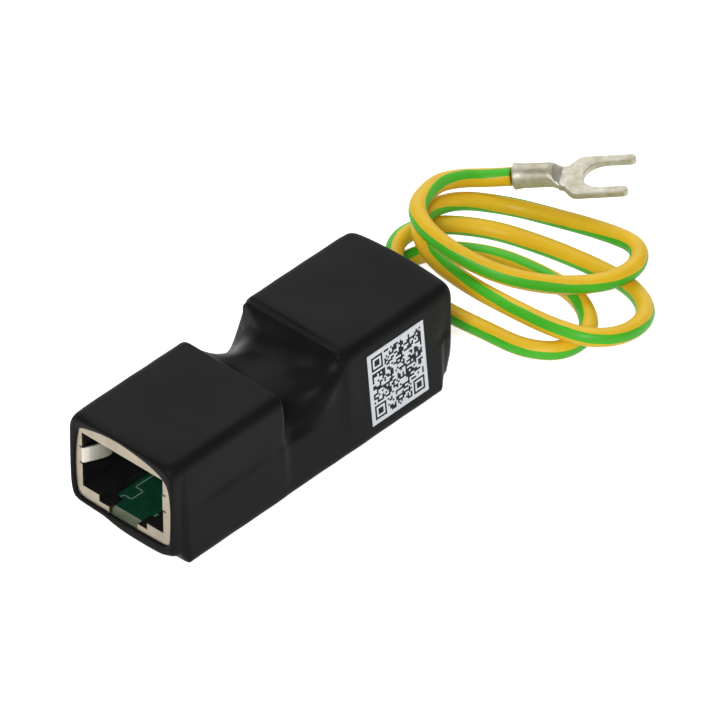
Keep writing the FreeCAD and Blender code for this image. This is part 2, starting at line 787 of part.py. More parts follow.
def lip_room(place):
    """Outline of the room behind a lip, where the socket's plate stands."""
    half = size("jack_half") + size("film_gap")
    high = size("jack_top") + size("film_gap")
    corner = size("jack_corner")
    return section(place, half, half, size("lip_floor"), both(high), both(corner), corner,
                   size("lip_room_crown"))


def mouth(side):
    """The hole that a lip leaves open in front of its plate."""
    start = side * size("plate_face")
    high = size("jack_top") - size("mouth_drop")
    low = size("board_top") - size("shield_skirt")
    corner = size("mouth_corner")
    rim = section(start, size("mouth_half"), size("mouth_half"), low, both(high), both(corner), corner,
                  size("mouth_crown"))
    return Part.Face(rim).extrude(Vector(0, side * 2 * size("lip_reach"), 0))


def make_sleeve():
    """Shrunk sleeve: a film that follows the sockets, dips between them and swells over the earth wire."""
    end = size("sleeve_end")
    press = size("foot_press")
    outside = [lip_section(-end)] + sleeve_sections(-press, 0) + [lip_section(end)]
    swelling = Part.makeLoft(swell_sections(0), True, True)
    outer = Part.makeLoft(outside, True, True).fuse(swelling)
    half = size("sleeve_half_foot") + size("wire_side")
    floor = Part.makeBox(2 * half, 2 * end, press, Vector(-half, -end, -press))

    room_end = size("plate_face") + size("film_gap")
    film = size("film")
    inside = [lip_room(-room_end)] + sleeve_sections(film, film) + [lip_room(room_end)]
    inner = Part.makeLoft(inside, True, True)
    swelling_room = Part.makeLoft(swell_sections(film), True, True)
    bore_radius = size("wire_radius") + size("film_gap")
    rim = size("plate_face") - size("rim_setback")
    bore_place = Vector(-size("wire_side"), rim, size("wire_height"))
    bore = Part.makeCylinder(bore_radius, size("sleeve_end"), bore_place, Y_AXIS)
    shape = outer.cut([floor, inner, swelling_room, bore, mouth(-1), mouth(1)])
    sleeve = doc.addObject("Part::Feature", "shrunk_film")
    sleeve.Shape = shape.Solids[0] if len(shape.Solids) == 1 else shape
    return keep(sleeve, "sleeve")


def make_label():
    """Paper label on the right side of the sleeve, over the rear socket."""
    lean = "( sleeve_half_foot - sleeve_half_top ) / sleeve_top"
    paper = doc.addObject("Part::Box", "label_paper_sheet")
    paper.Placement = Placement(Vector(), Rotation(Y_AXIS, 1))
    bind(paper, "Length", "label_paper")
    bind(paper, "Width", "label_length")
    bind(paper, "Height", "label_height")
    bind(paper, "Placement.Rotation.Angle", f"-atan( {lean} )")
    move(paper, f"sleeve_half_foot - label_foot * {lean}", "plate_face - label_end_gap - label_length",
         "label_foot")
    return keep(paper, "label")


def make_wire_inside():
    """The earth wire inside the sleeve, its bare end bent in over the board, and the lug under that end."""
    covering = bar("wire_inside", "wire_radius", "sleeve_end - jack_back - strip_setback", Y_AXIS,
                   "-( wire_side )", "jack_back + strip_setback", "wire_height")
    keep(covering, "earth_wire_inside")
    side = -size("wire_side")
    height = size("wire_height")
    turn = size("jack_back") - size("copper_turn_gap")
    corners = [
        Vector(side, size("jack_back") + size("strip_setback"), height),
        Vector(side, turn, height),
        Vector(side + size("copper_reach"), turn, height),
    ]
    copper = doc.addObject("Part::Feature", "copper_inside")
    copper.Shape = round_tube(tube_path(corners)[0], size("copper_diameter") / 2)
    keep(copper, "earth_copper")
    lug = block("earth_lug_plate", "lug_length", "lug_width", "lug_top - board_top",
                "-( wire_side ) + copper_reach - lug_length / 2", "jack_back - copper_turn_gap",
                "board_top")
    keep(lug, "earth_lug")


def tube_path(points):
    """Straight runs joined by tangent arcs, each as large as its two runs allow."""
    edges = []
    radii = []
    start = points[0]
    for before, corner, after in zip(points, points[1:], points[2:]):
        shorter = min((corner - before).Length, (after - corner).Length)
        reach = BEND_SHARE * shorter
        half_turn = (corner - before).getAngle(after - corner) / 2
        radius = reach / math.tan(half_turn)
        first, middle, last = rounded_corner(corner, before, after, radius)
        edges.append(Part.LineSegment(start, first).toShape())
        edges.append(Part.Arc(first, middle, last).toShape())
        radii.append(radius)
        start = last
    edges.append(Part.LineSegment(start, points[-1]).toShape())
    return Part.Wire(edges), radii


def round_tube(path, radius):
    """A round bar that follows a path."""
    start = path.OrderedVertexes[0].Point
    ahead = path.OrderedEdges[0].tangentAt(path.OrderedEdges[0].FirstParameter)
    circle = Part.makeCircle(radius, start, ahead)
    return path.makePipeShell([Part.Wire([circle])], True, False)


def make_earth_wire():
    """The free earth wire, as a round tube along its route."""
    points = [Vector(*point) for point in EARTH_ROUTE]
    path, radii = tube_path(points)
    radius = size("wire_radius")
    tube = round_tube(path, radius)
    print("earth wire: length %.1f mm, arcs from %.1f mm" % (path.Length, min(radii)))
    print("arc radii:", " ".join("%.1f" % value for value in radii))
    expected = math.pi * radius ** 2 * path.Length
    print("volume %.2f against section times length %.2f" % (tube.Volume, expected))
    wire = doc.addObject("Part::Feature", "earth_wire_tube")
    wire.Shape = tube
    return keep(wire, "earth_wire")


def wire_end_place(ahead):
    """Place and turn of something on the terminal's axis, a distance ahead of the wire's covering."""
    end = Vector(*EARTH_ROUTE[-1])
    axis = (end - Vector(*EARTH_ROUTE[-2])).normalize()
    across = FORK_NORMAL.cross(axis)
    turn = Rotation(axis, across, FORK_NORMAL, "XZY")
    return Placement(end + axis * ahead, turn)


def make_strands():
    """Bare copper between the wire's covering and the inside of the terminal's barrel."""
    strands = doc.addObject("Part::Cylinder", "strands")
    bind(strands, "Radius", "copper_diameter / 2")
    bind(strands, "Height", "strand_gap + strand_inside")
    strands.Placement = wire_end_place(0).multiply(Placement(Vector(), Rotation(Z_AXIS, X_AXIS)))
    return keep(strands, "earth_strands")


def make_terminal():
    """Open fork terminal: a rolled barrel with a flared mouth, a pinched neck and two tines."""
    body = new_body("fork_body")
    fork = sketch_on(body, "XY_Plane", "fork_outline", "-( fork_drop ) - fork_metal / 2")
    upper = [
        ("fork_neck_start", "fork_neck / 2"),
        ("fork_neck_end", "fork_neck / 2"),
        ("fork_shoulder", "fork_width / 2"),
        ("fork_length", "fork_width / 2"),
    ]
    lower = [(along, f"-( {across} )") for along, across in reversed(upper)]
    outline(fork, upper + lower)
    plate = body.newObject("PartDesign::Pad", "fork_plate")
    plate.Profile = fork
    bind(plate, "Length", "fork_metal")
    doc.recompute()
    tips = []
    for number, edge in enumerate(plate.Shape.Edges, start=1):
        ends = [vertex.Point for vertex in edge.Vertexes]
        at_tip = all(abs(point.x - size("fork_length")) < 1e-4 for point in ends)
        if at_tip and abs(ends[0].z - ends[1].z) > size("fork_metal") / 2:
            tips.append(f"Edge{number}")
    rounding = body.newObject("PartDesign::Fillet", "fork_tips")
    rounding.Base = (plate, tips)
    bind(rounding, "Radius", "fork_tip_round")
    body.Tip = rounding

    slot_height = "2 * fork_metal"
    slot_floor = "-( fork_drop ) - fork_metal"
    slot_end = bar("slot_end", "fork_slot / 2", slot_height, Z_AXIS, "fork_slot_start + fork_slot / 2",
                   "0", slot_floor)
    slot_run = block("slot_run", "fork_length - fork_slot_start", "fork_slot", slot_height,
                     "fork_slot_start + fork_slot / 2 + ( fork_length - fork_slot_start ) / 2", "0",
                     slot_floor)
    barrel_radius = "barrel_diameter / 2"
    mouth_flare = cone("barrel_flare_cone", "barrel_mouth / 2", barrel_radius, "barrel_flare", X_AXIS,
                       "0", "0", "0")
    barrel = bar("barrel_tube", barrel_radius, "barrel_length - barrel_flare", X_AXIS, "barrel_flare",
                 "0", "0")
    pinch = cone("barrel_pinch_cone", barrel_radius, "barrel_pinch", "barrel_pinch_length", X_AXIS,
                 "barrel_length", "0", "0")
    bore = bar("barrel_hole", "barrel_bore / 2", "barrel_bore_depth", X_AXIS, "0", "0", "0")
    solid = join("terminal_solid", [body, mouth_flare, barrel, pinch])
    terminal = cut("terminal", solid, [bore, slot_end, slot_run])
    terminal.Placement = wire_end_place(size("strand_gap"))
    return keep(terminal, "fork_terminal")


def check_document():
    """Stop if an object failed or a sub-part isn't a valid solid."""
    doc.recompute()
    for thing in doc.Objects:
        if "Invalid" in thing.State or "Error" in thing.State:
            raise RuntimeError(f"{thing.Name} failed: {thing.State}")
    for thing in parts:
        if thing.Shape.isNull() or not thing.Shape.isValid() or not thing.Shape.Solids:
            raise RuntimeError(f"{thing.Label} is not a valid solid")


def write_parts():
    os.makedirs("parts", exist_ok=True)
    for thing in parts:
        thing.Shape.exportStep(f"parts/{thing.Label}.step")
        box = thing.Shape.BoundBox
        print("%-20s %2d solids %9.2f mm3  x %6.2f %6.2f  y %6.2f %6.2f  z %5.2f %5.2f" % (
            thing.Label, len(thing.Shape.Solids), thing.Shape.Volume,
            box.XMin, box.XMax, box.YMin, box.YMax, box.ZMin, box.ZMax))


fill_sheet()
make_board()
for end, side in (FRONT, REAR):
    make_shield(end, side)
    make_housing(end, side)
    make_springs(end, side)
    make_contact_block(end, side)
    make_contacts(end, side)
    make_solder_row(end, side)
make_gas_tubes()
make_diodes()
make_resistors()
make_sleeve()
make_label()
make_wire_inside()
make_earth_wire()
make_strands()
make_terminal()
check_document()
write_parts()
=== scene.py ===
"""Looks of an inline surge protector: shrunk film, shielded sockets, printed label, striped earth wire.

The meshes are drawn in millimetres and scaled to metres once, when each one is finished.
+X is to the right of somebody who looks into the front socket, +Y runs to the rear socket, +Z is up.
"""

import math
import random

import bmesh
import bpy
import numpy as np
from mathutils import Matrix, Vector
from mathutils.geometry import convex_hull_2d


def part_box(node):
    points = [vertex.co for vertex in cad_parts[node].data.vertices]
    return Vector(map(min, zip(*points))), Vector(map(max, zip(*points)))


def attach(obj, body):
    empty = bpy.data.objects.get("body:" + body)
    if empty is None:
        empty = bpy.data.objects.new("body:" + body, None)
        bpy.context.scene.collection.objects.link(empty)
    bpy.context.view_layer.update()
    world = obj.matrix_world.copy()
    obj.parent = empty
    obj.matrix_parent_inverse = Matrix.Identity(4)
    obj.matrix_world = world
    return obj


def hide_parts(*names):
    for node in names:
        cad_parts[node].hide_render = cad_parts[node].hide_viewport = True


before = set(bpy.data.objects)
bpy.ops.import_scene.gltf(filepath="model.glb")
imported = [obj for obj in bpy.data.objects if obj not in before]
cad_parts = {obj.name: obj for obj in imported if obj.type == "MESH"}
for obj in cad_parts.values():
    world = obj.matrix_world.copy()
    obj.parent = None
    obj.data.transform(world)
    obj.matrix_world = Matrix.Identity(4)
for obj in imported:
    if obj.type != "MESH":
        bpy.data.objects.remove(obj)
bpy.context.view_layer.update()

MM = 0.001
BODY = "root"


def lowest(node):
    """The lowest corner of a solid's box, in millimetres."""
    return np.array(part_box(node)[0]) / MM


def highest(node):
    """The highest corner of a solid's box, in millimetres."""
    return np.array(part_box(node)[1]) / MM


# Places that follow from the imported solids
PLATE_FACE = -lowest("front_shield")[1]
SOCKET_HALF = highest("front_shield")[0]
SOCKET_TOP = highest("front_shield")[2]
SOCKET_BACK = -highest("front_shield")[1]
BOARD_TOP = highest("circuit_board")[2]
SLEEVE_TOP = highest("sleeve")[2]
SLEEVE_END = highest("sleeve")[1]
WINDOW_HALF = highest("front_contact_block")[0]
SPRING_FLOOR = lowest("front_springs")[2]
SPRING_TOP = highest("front_springs")[2]
WIRE_INSIDE = (lowest("earth_wire_inside") + highest("earth_wire_inside")) / 2
RIM_PLACE = PLATE_FACE - 0.8  # where the film's rim ends and its lip begins

# The film
FILM = 0.35 * 0.9            # from the film's outside to its inside
FILM_CENTRE = 7.0            # height from which a section of the film is measured outwards
FILM_TURNS = 168             # points round the film
HALF_TOP = 7.8
HALF_FOOT = 8.42
CORNER_TOP = 1.45
CORNER_FOOT = 0.6
CROWN = 0.12
VALLEY_HALF = 7.55
VALLEY_TOP = 9.65            # height that the film would sink to between the sockets
VALLEY_CORNERS = (5.9, 4.7)  # radii of its upper corners there, left and right
DIP_SHARE = 0.96             # share of that sinking that it reaches
DIP_OFFSET = 2.2             # its left side is lowest this far behind the middle, its right side before it
DIP_GENTLE = 1.3             # powers of the film's long and short slopes into the dip
DIP_STEEP = 6.0
FRONT_FOLD = 0.3             # reach of the film's round at the front socket's edge
REAR_FOLDS = (0.4, 0.9)      # and at the rear socket's edge, left and right
FOLD_CHANGE = 3.0            # how far behind the middle the one reach has turned into the other
SINK_STARTS = (0.45, 0.5)    # how far over the rear socket the film begins to sink, left and right

# The earth wire
WIRE_DIAMETER = 2.2
WIRE_SIDES = 28
WIRE_START = (0.86, 1.0)     # shares of its radius at the rings of its first end, and of its last end
WIRE_END = (1.0, 0.9, 0.62)
EARTH_ROUTE = [
    (-8.65, 22.7, 4.2), (-8.65, 25.5, 4.2), (-9.1, 29.0, 1.5), (-10.4, 33.4, 1.1),
    (-9.0, 38.2, 1.1), (-3.7, 41.9, 1.1), (2.3, 43.0, 1.1), (8.8, 43.0, 1.1),
    (14.2, 39.4, 1.1), (14.6, 34.2, 1.1), (10.8, 31.4, 1.1), (5.2, 31.0, 1.1),
    (-0.4, 30.0, 1.6), (-6.0, 28.9, 3.7), (-11.1, 33.2, 3.9), (-11.4, 39.6, 2.8),
    (-7.0, 45.0, 1.4), (-0.6, 47.1, 1.1), (5.8, 48.1, 1.1), (12.2, 48.4, 1.1),
    (17.6, 45.2, 1.8), (19.2, 39.6, 2.9), (17.0, 35.6, 3.4), (12.4, 34.3, 3.4),
    (6.7, 33.9, 3.4), (0.6, 33.8, 3.3), (-6.0, 33.8, 4.3), (-10.6, 36.9, 5.7),
    (-11.3, 43.8, 4.0), (-7.6, 49.3, 1.9), (-1.5, 51.3, 2.0), (4.8, 52.2, 2.9),
    (10.0, 52.2, 3.5), (12.5, 48.8, 3.5), (11.3, 43.9, 3.4), (7.2, 39.4, 3.7),
    (2.8, 35.5, 5.2), (-3.8, 33.4, 7.2), (-9.3, 34.7, 8.4), (-11.8, 41.2, 7.4),
    (-11.6, 45.5, 5.9), (-10.3, 48.4, 4.95), (-7.7, 50.0, 5.6),
]
# Where the green stripes lie round the wire: distance along it, and degrees from straight up
STRIPE_TURNS = [
    (0, -154), (22, -170), (30, -166), (36, -138), (43, -104), (51, -86), (64, -80), (74, -40),
    (83, -47), (94, -58), (106, -75), (114, -88), (119, -74), (125, -52), (133, -48), (145, 0),
    (151, 80), (157, 118), (164, 140), (170, 127), (177, 108), (186, 75), (191, 92), (197, 107),
    (206, 107), (214, 93), (220, 58), (226, 34), (234, 16),
]
STRIPE_HALF_SHARE = 0.172    # half a stripe's width, as a share of half a turn
STRIPE_EDGE = 0.006          # and half the width of its soft edge
FORK_NORMAL = Vector((-0.168, -0.143, 0.976))

# The camera
CAMERA_PLACE = (0.49763, -0.52503, 0.58557)
CAMERA_TILT = math.radians(51.589)
CAMERA_TURN = math.radians(42.611)
CAMERA_LENS = 418.83


# Materials

def set_inputs(tree, node, inputs):
    """Set a node's inputs: each takes a plain value, or a link from another node's output."""
    for key, value in inputs.items():
        if isinstance(value, bpy.types.NodeSocket):
            tree.links.new(value, node.inputs[key])
        else:
            node.inputs[key].default_value = value


def add_node(tree, kind, inputs=None, **settings):
    """A new node with its settings and its inputs."""
    node = tree.nodes.new("ShaderNode" + kind)
    for name, value in settings.items():
        setattr(node, name, value)
    set_inputs(tree, node, inputs or {})
    return node


def add_math(tree, operation, *values):
    """Result of a calculation with plain values or outputs."""
    return add_node(tree, "Math", dict(enumerate(values)), operation=operation).outputs["Value"]


def add_range(tree, value, start, end):
    """Result of carrying a value over from one range to another."""
    inputs = zip(("Value", "From Min", "From Max", "To Min", "To Max"), (value, *start, *end))
    return add_node(tree, "MapRange", dict(inputs)).outputs["Result"]


def empty_tree(owner):
    """The node tree of a material or of the world, without nodes."""
    owner.use_nodes = True
    owner.node_tree.nodes.clear()
    return owner.node_tree


def new_material(name, inputs):
    """A material with its tree and its Principled shader, which takes the inputs."""
    material = bpy.data.materials.new(name)
    tree = empty_tree(material)
    shader = add_node(tree, "BsdfPrincipled", inputs)
    add_node(tree, "OutputMaterial", {"Surface": shader.outputs["BSDF"]})
    return material, tree, shader


def new_group(name, inputs, outputs):
    """A node group whose inputs and outputs are numbers, with its two ends and the place on a piece."""
    group = bpy.data.node_groups.new(name, "ShaderNodeTree")
    for label, value in inputs.items():
        socket = group.interface.new_socket(label, in_out="INPUT", socket_type="NodeSocketFloat")
        socket.default_value = value
    for label in outputs:
        group.interface.new_socket(label, in_out="OUTPUT", socket_type="NodeSocketFloat")
    given = group.nodes.new("NodeGroupInput").outputs
    return group, given, group.nodes.new("NodeGroupOutput"), add_node(group, "TexCoord").outputs["Object"]


def spread_noise(group, given, result, noise):
    """End a group: its noise spread between the group's Low and High, and as a height for bump."""
    value = add_range(group, noise.outputs["Fac"], (0.3, 0.7), (given["Low"], given["High"]))
    set_inputs(group, result, {"Value": value, "Height": noise.outputs["Fac"]})
    return group


def make_mottle_group():
    """Soft uneven patches between two values."""
    group, given, result, place = new_group(
        "Mottle", {"Scale": 400.0, "Low": 0.3, "High": 0.5, "Detail": 4.0}, ("Value", "Height"))
    noise = add_node(group, "TexNoise",
                     {"Vector": place, "Scale": given["Scale"], "Detail": given["Detail"]})
    return spread_noise(group, given, result, noise)


def make_brushing_group():
    """Fine drawn lines that run along one direction."""
    group, given, result, place = new_group(
        "Brushing", {"Along X": 200.0, "Along Y": 3000.0, "Along Z": 3000.0, "Low": 0.3, "High": 0.5},
        ("Value", "Height"))
    factors = add_node(group, "CombineXYZ", {letter: given["Along " + letter] for letter in "XYZ"})
    scaled = add_node(group, "VectorMath", {0: place, 1: factors.outputs["Vector"]}, operation="MULTIPLY")
    noise = add_node(group, "TexNoise", {"Vector": scaled.outputs["Vector"], "Scale": 1.0, "Detail": 3.0})
    return spread_noise(group, given, result, noise)


def make_dust_group():
    """Sparse pale specks: a mask that is 1 on a speck."""
    group, given, result, place = new_group("Dust", {"Scale": 900.0, "Amount": 0.06}, ("Mask",))
    cells = add_node(group, "TexVoronoi", {"Vector": place, "Scale": given["Scale"]})
    noise = add_node(group, "TexNoise", {"Vector": place, "Scale": 300.0})
    near = add_math(group, "LESS_THAN", cells.outputs["Distance"], given["Amount"])
    rare = add_math(group, "GREATER_THAN", noise.outputs["Fac"], 0.6)
    set_inputs(group, result, {"Mask": add_math(group, "MULTIPLY", near, rare)})
    return group


MOTTLE = make_mottle_group()
BRUSHING = make_brushing_group()
DUST = make_dust_group()


def mottled(tree, scale, low=0.0, high=1.0, detail=4.0):
    """Outputs of soft uneven patches between two values."""
    inputs = {"Scale": scale, "Low": low, "High": high, "Detail": detail}
    return add_node(tree, "Group", inputs, node_tree=MOTTLE).outputs


def brushed(tree, fineness, low=0.0, high=1.0):
    """Outputs of drawn lines between two values; fineness says how fine they are along X, Y and Z."""
    inputs = {"Along " + letter: value for letter, value in zip("XYZ", fineness)}
    return add_node(tree, "Group", {**inputs, "Low": low, "High": high}, node_tree=BRUSHING).outputs


def add_bump(tree, shader, height, strength, distance):
    """Bump from a height output into the shader's normal."""
    bump = add_node(tree, "Bump", {"Strength": strength, "Distance": distance, "Height": height})
    tree.links.new(bump.outputs["Normal"], shader.inputs["Normal"])


def blend_colours(tree, mask, *colours):
    """A mix between two colours by a mask; each may be a plain colour or an output."""
    first, second = ((*colour, 1.0) if isinstance(colour, tuple) else colour for colour in colours)
    return add_node(tree, "Mix", {0: mask, 6: first, 7: second}, data_type="RGBA").outputs[2]


def two_tones(tree, scale, dark, light):
    """A colour that wanders between two in soft patches."""
    return blend_colours(tree, mottled(tree, scale)["Value"], dark, light)


def add_gloss(tree, shader, scale, roughness, strength, distance):
    """Roughness that wanders between two values, with the same patches as a fine grain."""
    gloss = mottled(tree, scale, *roughness)
    set_inputs(tree, shader, {"Roughness": gloss["Value"]})
    add_bump(tree, shader, gloss["Height"], strength, distance)


def moulded_plastic(name, dark, light, roughness, bump=0.1, shine=0.5):
    """Plastic with uneven tone and gloss and a fine grain."""
    material, tree, shader = new_material(name, {"Specular IOR Level": shine})
    set_inputs(tree, shader, {"Base Color": two_tones(tree, 260.0, dark, light)})
    add_gloss(tree, shader, 900.0, roughness, bump, 0.00004)
    return material


def plated_metal(name, dark, light, roughness, fineness, metallic=1.0):
    """Plated metal with drawn lines, blotches and slightly uneven gloss."""
    material, tree, shader = new_material(name, {"Metallic": metallic})
    lines = brushed(tree, fineness, *roughness)
    set_inputs(tree, shader, {
        "Base Color": two_tones(tree, 500.0, dark, light), "Roughness": lines["Value"]})
    add_bump(tree, shader, lines["Height"], 0.12, 0.00002)
    return material


def film_material():
    """Shrunk film: black, satin, with a fine leathery ripple and a few dust specks."""
    material, tree, shader = new_material(
        "Shrunk film", {"Specular IOR Level": 0.052, "Specular Tint": (1.0, 0.96, 0.90, 1.0)})
    black = two_tones(tree, 180.0, (0.0080, 0.0080, 0.0082), (0.0105, 0.0103, 0.0101))
    dust = add_node(tree, "Group", {"Scale": 700.0, "Amount": 0.035}, node_tree=DUST)
    set_inputs(tree, shader, {
        "Base Color": blend_colours(tree, dust.outputs["Mask"], black, (0.05, 0.048, 0.045)),
        "Roughness": mottled(tree, 120.0, 0.36, 0.46)["Value"],
    })
    add_bump(tree, shader, mottled(tree, 2600.0, detail=3.0)["Height"], 0.09, 0.00003)
    return material


def wire_material():
    """Wire covering: yellow with two green stripes, which follow the turn stored in the mesh's map."""
    material, tree, shader = new_material("Striped covering", {
        "Specular IOR Level": 0.3,
        "Subsurface Weight": 0.12,
        "Subsurface Radius": (0.0006, 0.0004, 0.0002),
        "Subsurface Scale": 1.0,
    })
    lay = add_node(tree, "UVMap", uv_map="lay")
    turn = add_node(tree, "SeparateXYZ", {"Vector": lay.outputs["UV"]}).outputs["Y"]
    wavering = add_math(tree, "ADD", turn, mottled(tree, 350.0, -0.006, 0.006)["Value"])
    fold = add_math(tree, "PINGPONG", add_math(tree, "MULTIPLY", wavering, 2.0), 0.5)
    edge = (STRIPE_HALF_SHARE - STRIPE_EDGE, STRIPE_HALF_SHARE + STRIPE_EDGE)
    yellow = two_tones(tree, 160.0, (0.79, 0.49, 0.012), (0.87, 0.56, 0.024))
    green = two_tones(tree, 160.0, (0.060, 0.48, 0.016), (0.080, 0.54, 0.026))
    striped = blend_colours(tree, add_range(tree, fold, edge, (1.0, 0.0)), yellow, green)
    set_inputs(tree, shader, {"Base Color": striped})
    add_gloss(tree, shader, 700.0, (0.38, 0.5), 0.08, 0.00003)
    return material


def board_material():
    """Circuit board: dark green mask on its faces, pale glass laminate on its edges."""
    material, tree, shader = new_material("Board laminate", {})
    normal = add_node(tree, "NewGeometry").outputs["Normal"]
    upright = add_math(tree, "ABSOLUTE", add_node(tree, "SeparateXYZ", {"Vector": normal}).outputs["Z"])
    faces = add_math(tree, "GREATER_THAN", upright, 0.7)
    mask = two_tones(tree, 700.0, (0.005, 0.050, 0.026), (0.008, 0.066, 0.034))
    weave = brushed(tree, (400.0, 400.0, 6000.0))["Value"]
    edge = blend_colours(tree, weave, (0.16, 0.20, 0.13), (0.30, 0.33, 0.22))
    set_inputs(tree, shader, {"Base Color": blend_colours(tree, faces, edge, mask)})
    add_gloss(tree, shader, 1500.0, (0.22, 0.34), 0.1, 0.00002)
    return material


def terminal_material():
    """Terminal plating: dull tin with brownish stains in soft patches."""
    material, tree, shader = new_material("Terminal plating", {"Metallic": 0.85})
    plating = two_tones(tree, 2200.0, (0.50, 0.49, 0.42), (0.66, 0.645, 0.57))
    stains = mottled(tree, 420.0, detail=6.0)["Value"]
    set_inputs(tree, shader, {"Base Color": blend_colours(tree, stains, plating, (0.42, 0.385, 0.27))})
    add_gloss(tree, shader, 900.0, (0.4, 0.62), 0.2, 0.00004)
    return material


# Plastics and metals: dark and light tone, roughness, and for a metal how fine its lines are
MATERIALS = {
    "film": film_material(),
    "wire": wire_material(),
    "board": board_material(),
    "terminal": terminal_material(),
    "paper": moulded_plastic("Label paper", (0.80, 0.84, 0.90), (0.84, 0.87, 0.92), (0.45, 0.6), bump=0.05),
    "ink": moulded_plastic("Label ink", (0.008, 0.008, 0.009), (0.014, 0.014, 0.016), (0.4, 0.55),
                           bump=0.05, shine=0.1),
    "socket plastic": moulded_plastic("Socket plastic", (0.006, 0.006, 0.0065), (0.011, 0.011, 0.012),
                                      (0.3, 0.45)),
    "case": moulded_plastic("Component case", (0.02, 0.02, 0.022), (0.035, 0.035, 0.038), (0.4, 0.6)),
    "ceramic": moulded_plastic("Tube ceramic", (0.78, 0.76, 0.71), (0.86, 0.84, 0.79), (0.35, 0.5)),
    "track": moulded_plastic("Board track", (0.16, 0.26, 0.20), (0.24, 0.34, 0.28), (0.3, 0.4)),
    "socket metal": plated_metal("Socket metal", (0.325, 0.28, 0.215), (0.395, 0.342, 0.268),
                                 (0.28, 0.46), (700.0, 4000.0, 11000.0)),
    "spring metal": plated_metal("Spring metal", (0.66, 0.62, 0.53), (0.78, 0.74, 0.65),
                                 (0.22, 0.36), (5000.0, 5000.0, 400.0), metallic=0.55),
    "gold": plated_metal("Contact gold", (0.80, 0.56, 0.20), (0.90, 0.66, 0.28),
                         (0.18, 0.3), (4000.0, 300.0, 4000.0)),
    "tin": plated_metal("Tinned metal", (0.60, 0.59, 0.57), (0.72, 0.71, 0.69),
                        (0.3, 0.45), (2500.0, 2500.0, 2500.0)),
    "copper": plated_metal("Copper strand", (0.45, 0.16, 0.07), (0.72, 0.32, 0.16),
                           (0.25, 0.4), (1200.0, 1200.0, 1200.0)),
}


# Meshes

def link_object(name, data):
    """An object in the scene that shows some data."""
    holder = bpy.data.objects.new(name, data)
    bpy.context.scene.collection.objects.link(holder)
    return holder


def finish_piece(name, points, faces, materials, slot, smooth=True, face_materials=None):
    """Turn points in millimetres and faces into a piece that rides on the part."""
    mesh = bpy.data.meshes.new(name)
    mesh.from_pydata([tuple(point) for point in np.asarray(points, float) * MM], [], faces)
    for material in materials:
        mesh.materials.append(MATERIALS[material])
    if face_materials is not None:
        mesh.polygons.foreach_set("material_index", face_materials)
    mesh.polygons.foreach_set("use_smooth", [smooth] * len(mesh.polygons))
    mesh.validate()
    mesh.update()
    piece = link_object(name, mesh)
    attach(piece, BODY)
    return piece


CREASE = math.radians(35)


def tidy_normals(piece):
    """Turn every face outwards, and keep creases sharp."""
    shape = bmesh.new()
    shape.from_mesh(piece.data)
    bmesh.ops.recalc_face_normals(shape, faces=shape.faces)
    shape.to_mesh(piece.data)
    shape.free()
    piece.data.set_sharp_from_angle(angle=CREASE)


def ring_faces(rings, turns, closed=True):
    """Quads between rings that follow each other; a closed surface joins its last ring to its first."""
    faces = []
    for ring in range(rings if closed else rings - 1):
        following = (ring + 1) % rings
        for turn in range(turns):
            beside = (turn + 1) % turns
            faces.append((ring * turns + turn, ring * turns + beside,
                          following * turns + beside, following * turns + turn))
    return faces


def tube_faces(rings, turns):
    """Faces of a tube through rings of points, with both its ends closed."""
    last = (rings - 1) * turns
    return ring_faces(rings, turns, closed=False) + [
        tuple(range(turns - 1, -1, -1)), tuple(range(last, last + turns))]


BOX_FACES = ((3, 2, 1, 0), (4, 5, 6, 7), (0, 1, 5, 4), (1, 2, 6, 5), (2, 3, 7, 6), (3, 0, 4, 7))


def join_solids(solids):
    """The points and the faces of several solids as one list of each."""
    points = []
    faces = []
    for solid_points, solid_faces in solids:
        base = len(points)
        points += solid_points
        faces += [tuple(base + index for index in face) for face in solid_faces]
    return points, faces


def smooth_step(value):
    """Ease from 0 to 1, and stay there outside that range."""
    value = np.clip(value, 0.0, 1.0)
    return value * value * (3.0 - 2.0 * value)


ARC_POINTS = 9
CIRCLE_POINTS = 40


def corner_arc(corner, before, after, radius):
    """Points of the arc that rounds a corner."""
    back = (before - corner) / np.linalg.norm(before - corner)
    on = (after - corner) / np.linalg.norm(after - corner)
    half = math.acos(float(np.clip(back @ on, -1.0, 1.0))) / 2
    inward = (back + on) / np.linalg.norm(back + on)
    centre = corner + inward * radius / math.sin(half)
    first = corner + back * radius / math.tan(half) - centre
    last = corner + on * radius / math.tan(half) - centre
    share = np.linspace(0.0, 1.0, ARC_POINTS)[:, None]
    spread = first * (1 - share) + last * share
    return centre + radius * spread / np.linalg.norm(spread, axis=1)[:, None]


def rounded_section(half_top, half_foot, low, high, corner_top, corner_foot, crown):
    """Outline of the film across its length, as points (x, z).

    The heights and the radii of its upper corners are pairs, for the left and the right.
    """
    left_top, right_top = high
    corners = np.array([(-half_foot, low), (half_foot, low), (half_top, right_top), (-half_top, left_top)])
    radii = (corner_foot, corner_foot, corner_top[1], corner_top[0])
    points = []
    for number, corner in enumerate(corners):
        before = corners[number - 1]
        after = corners[(number + 1) % 4]
        arc = corner_arc(corner, before, after, radii[number])
        points.extend(arc)
        if number == 2:
            following = corner_arc(corners[3], corner, corners[0], corner_top[0])[0]
            for share in np.linspace(0.1, 0.9, 9):
                rise = crown * 4 * share * (1 - share)
                points.append(arc[-1] * (1 - share) + following * share + np.array([0.0, rise]))
    return np.array(points)


CORNER_TURN = math.radians(42.0)
CORNER_CROWDING = 0.17


def film_turns():
    """Directions round the film, closer together at its four corners."""
    even = np.linspace(0.0, 2 * math.pi, FILM_TURNS, endpoint=False)
    return even - CORNER_CROWDING * np.sin(4 * (even - CORNER_TURN))


TURNS = film_turns()


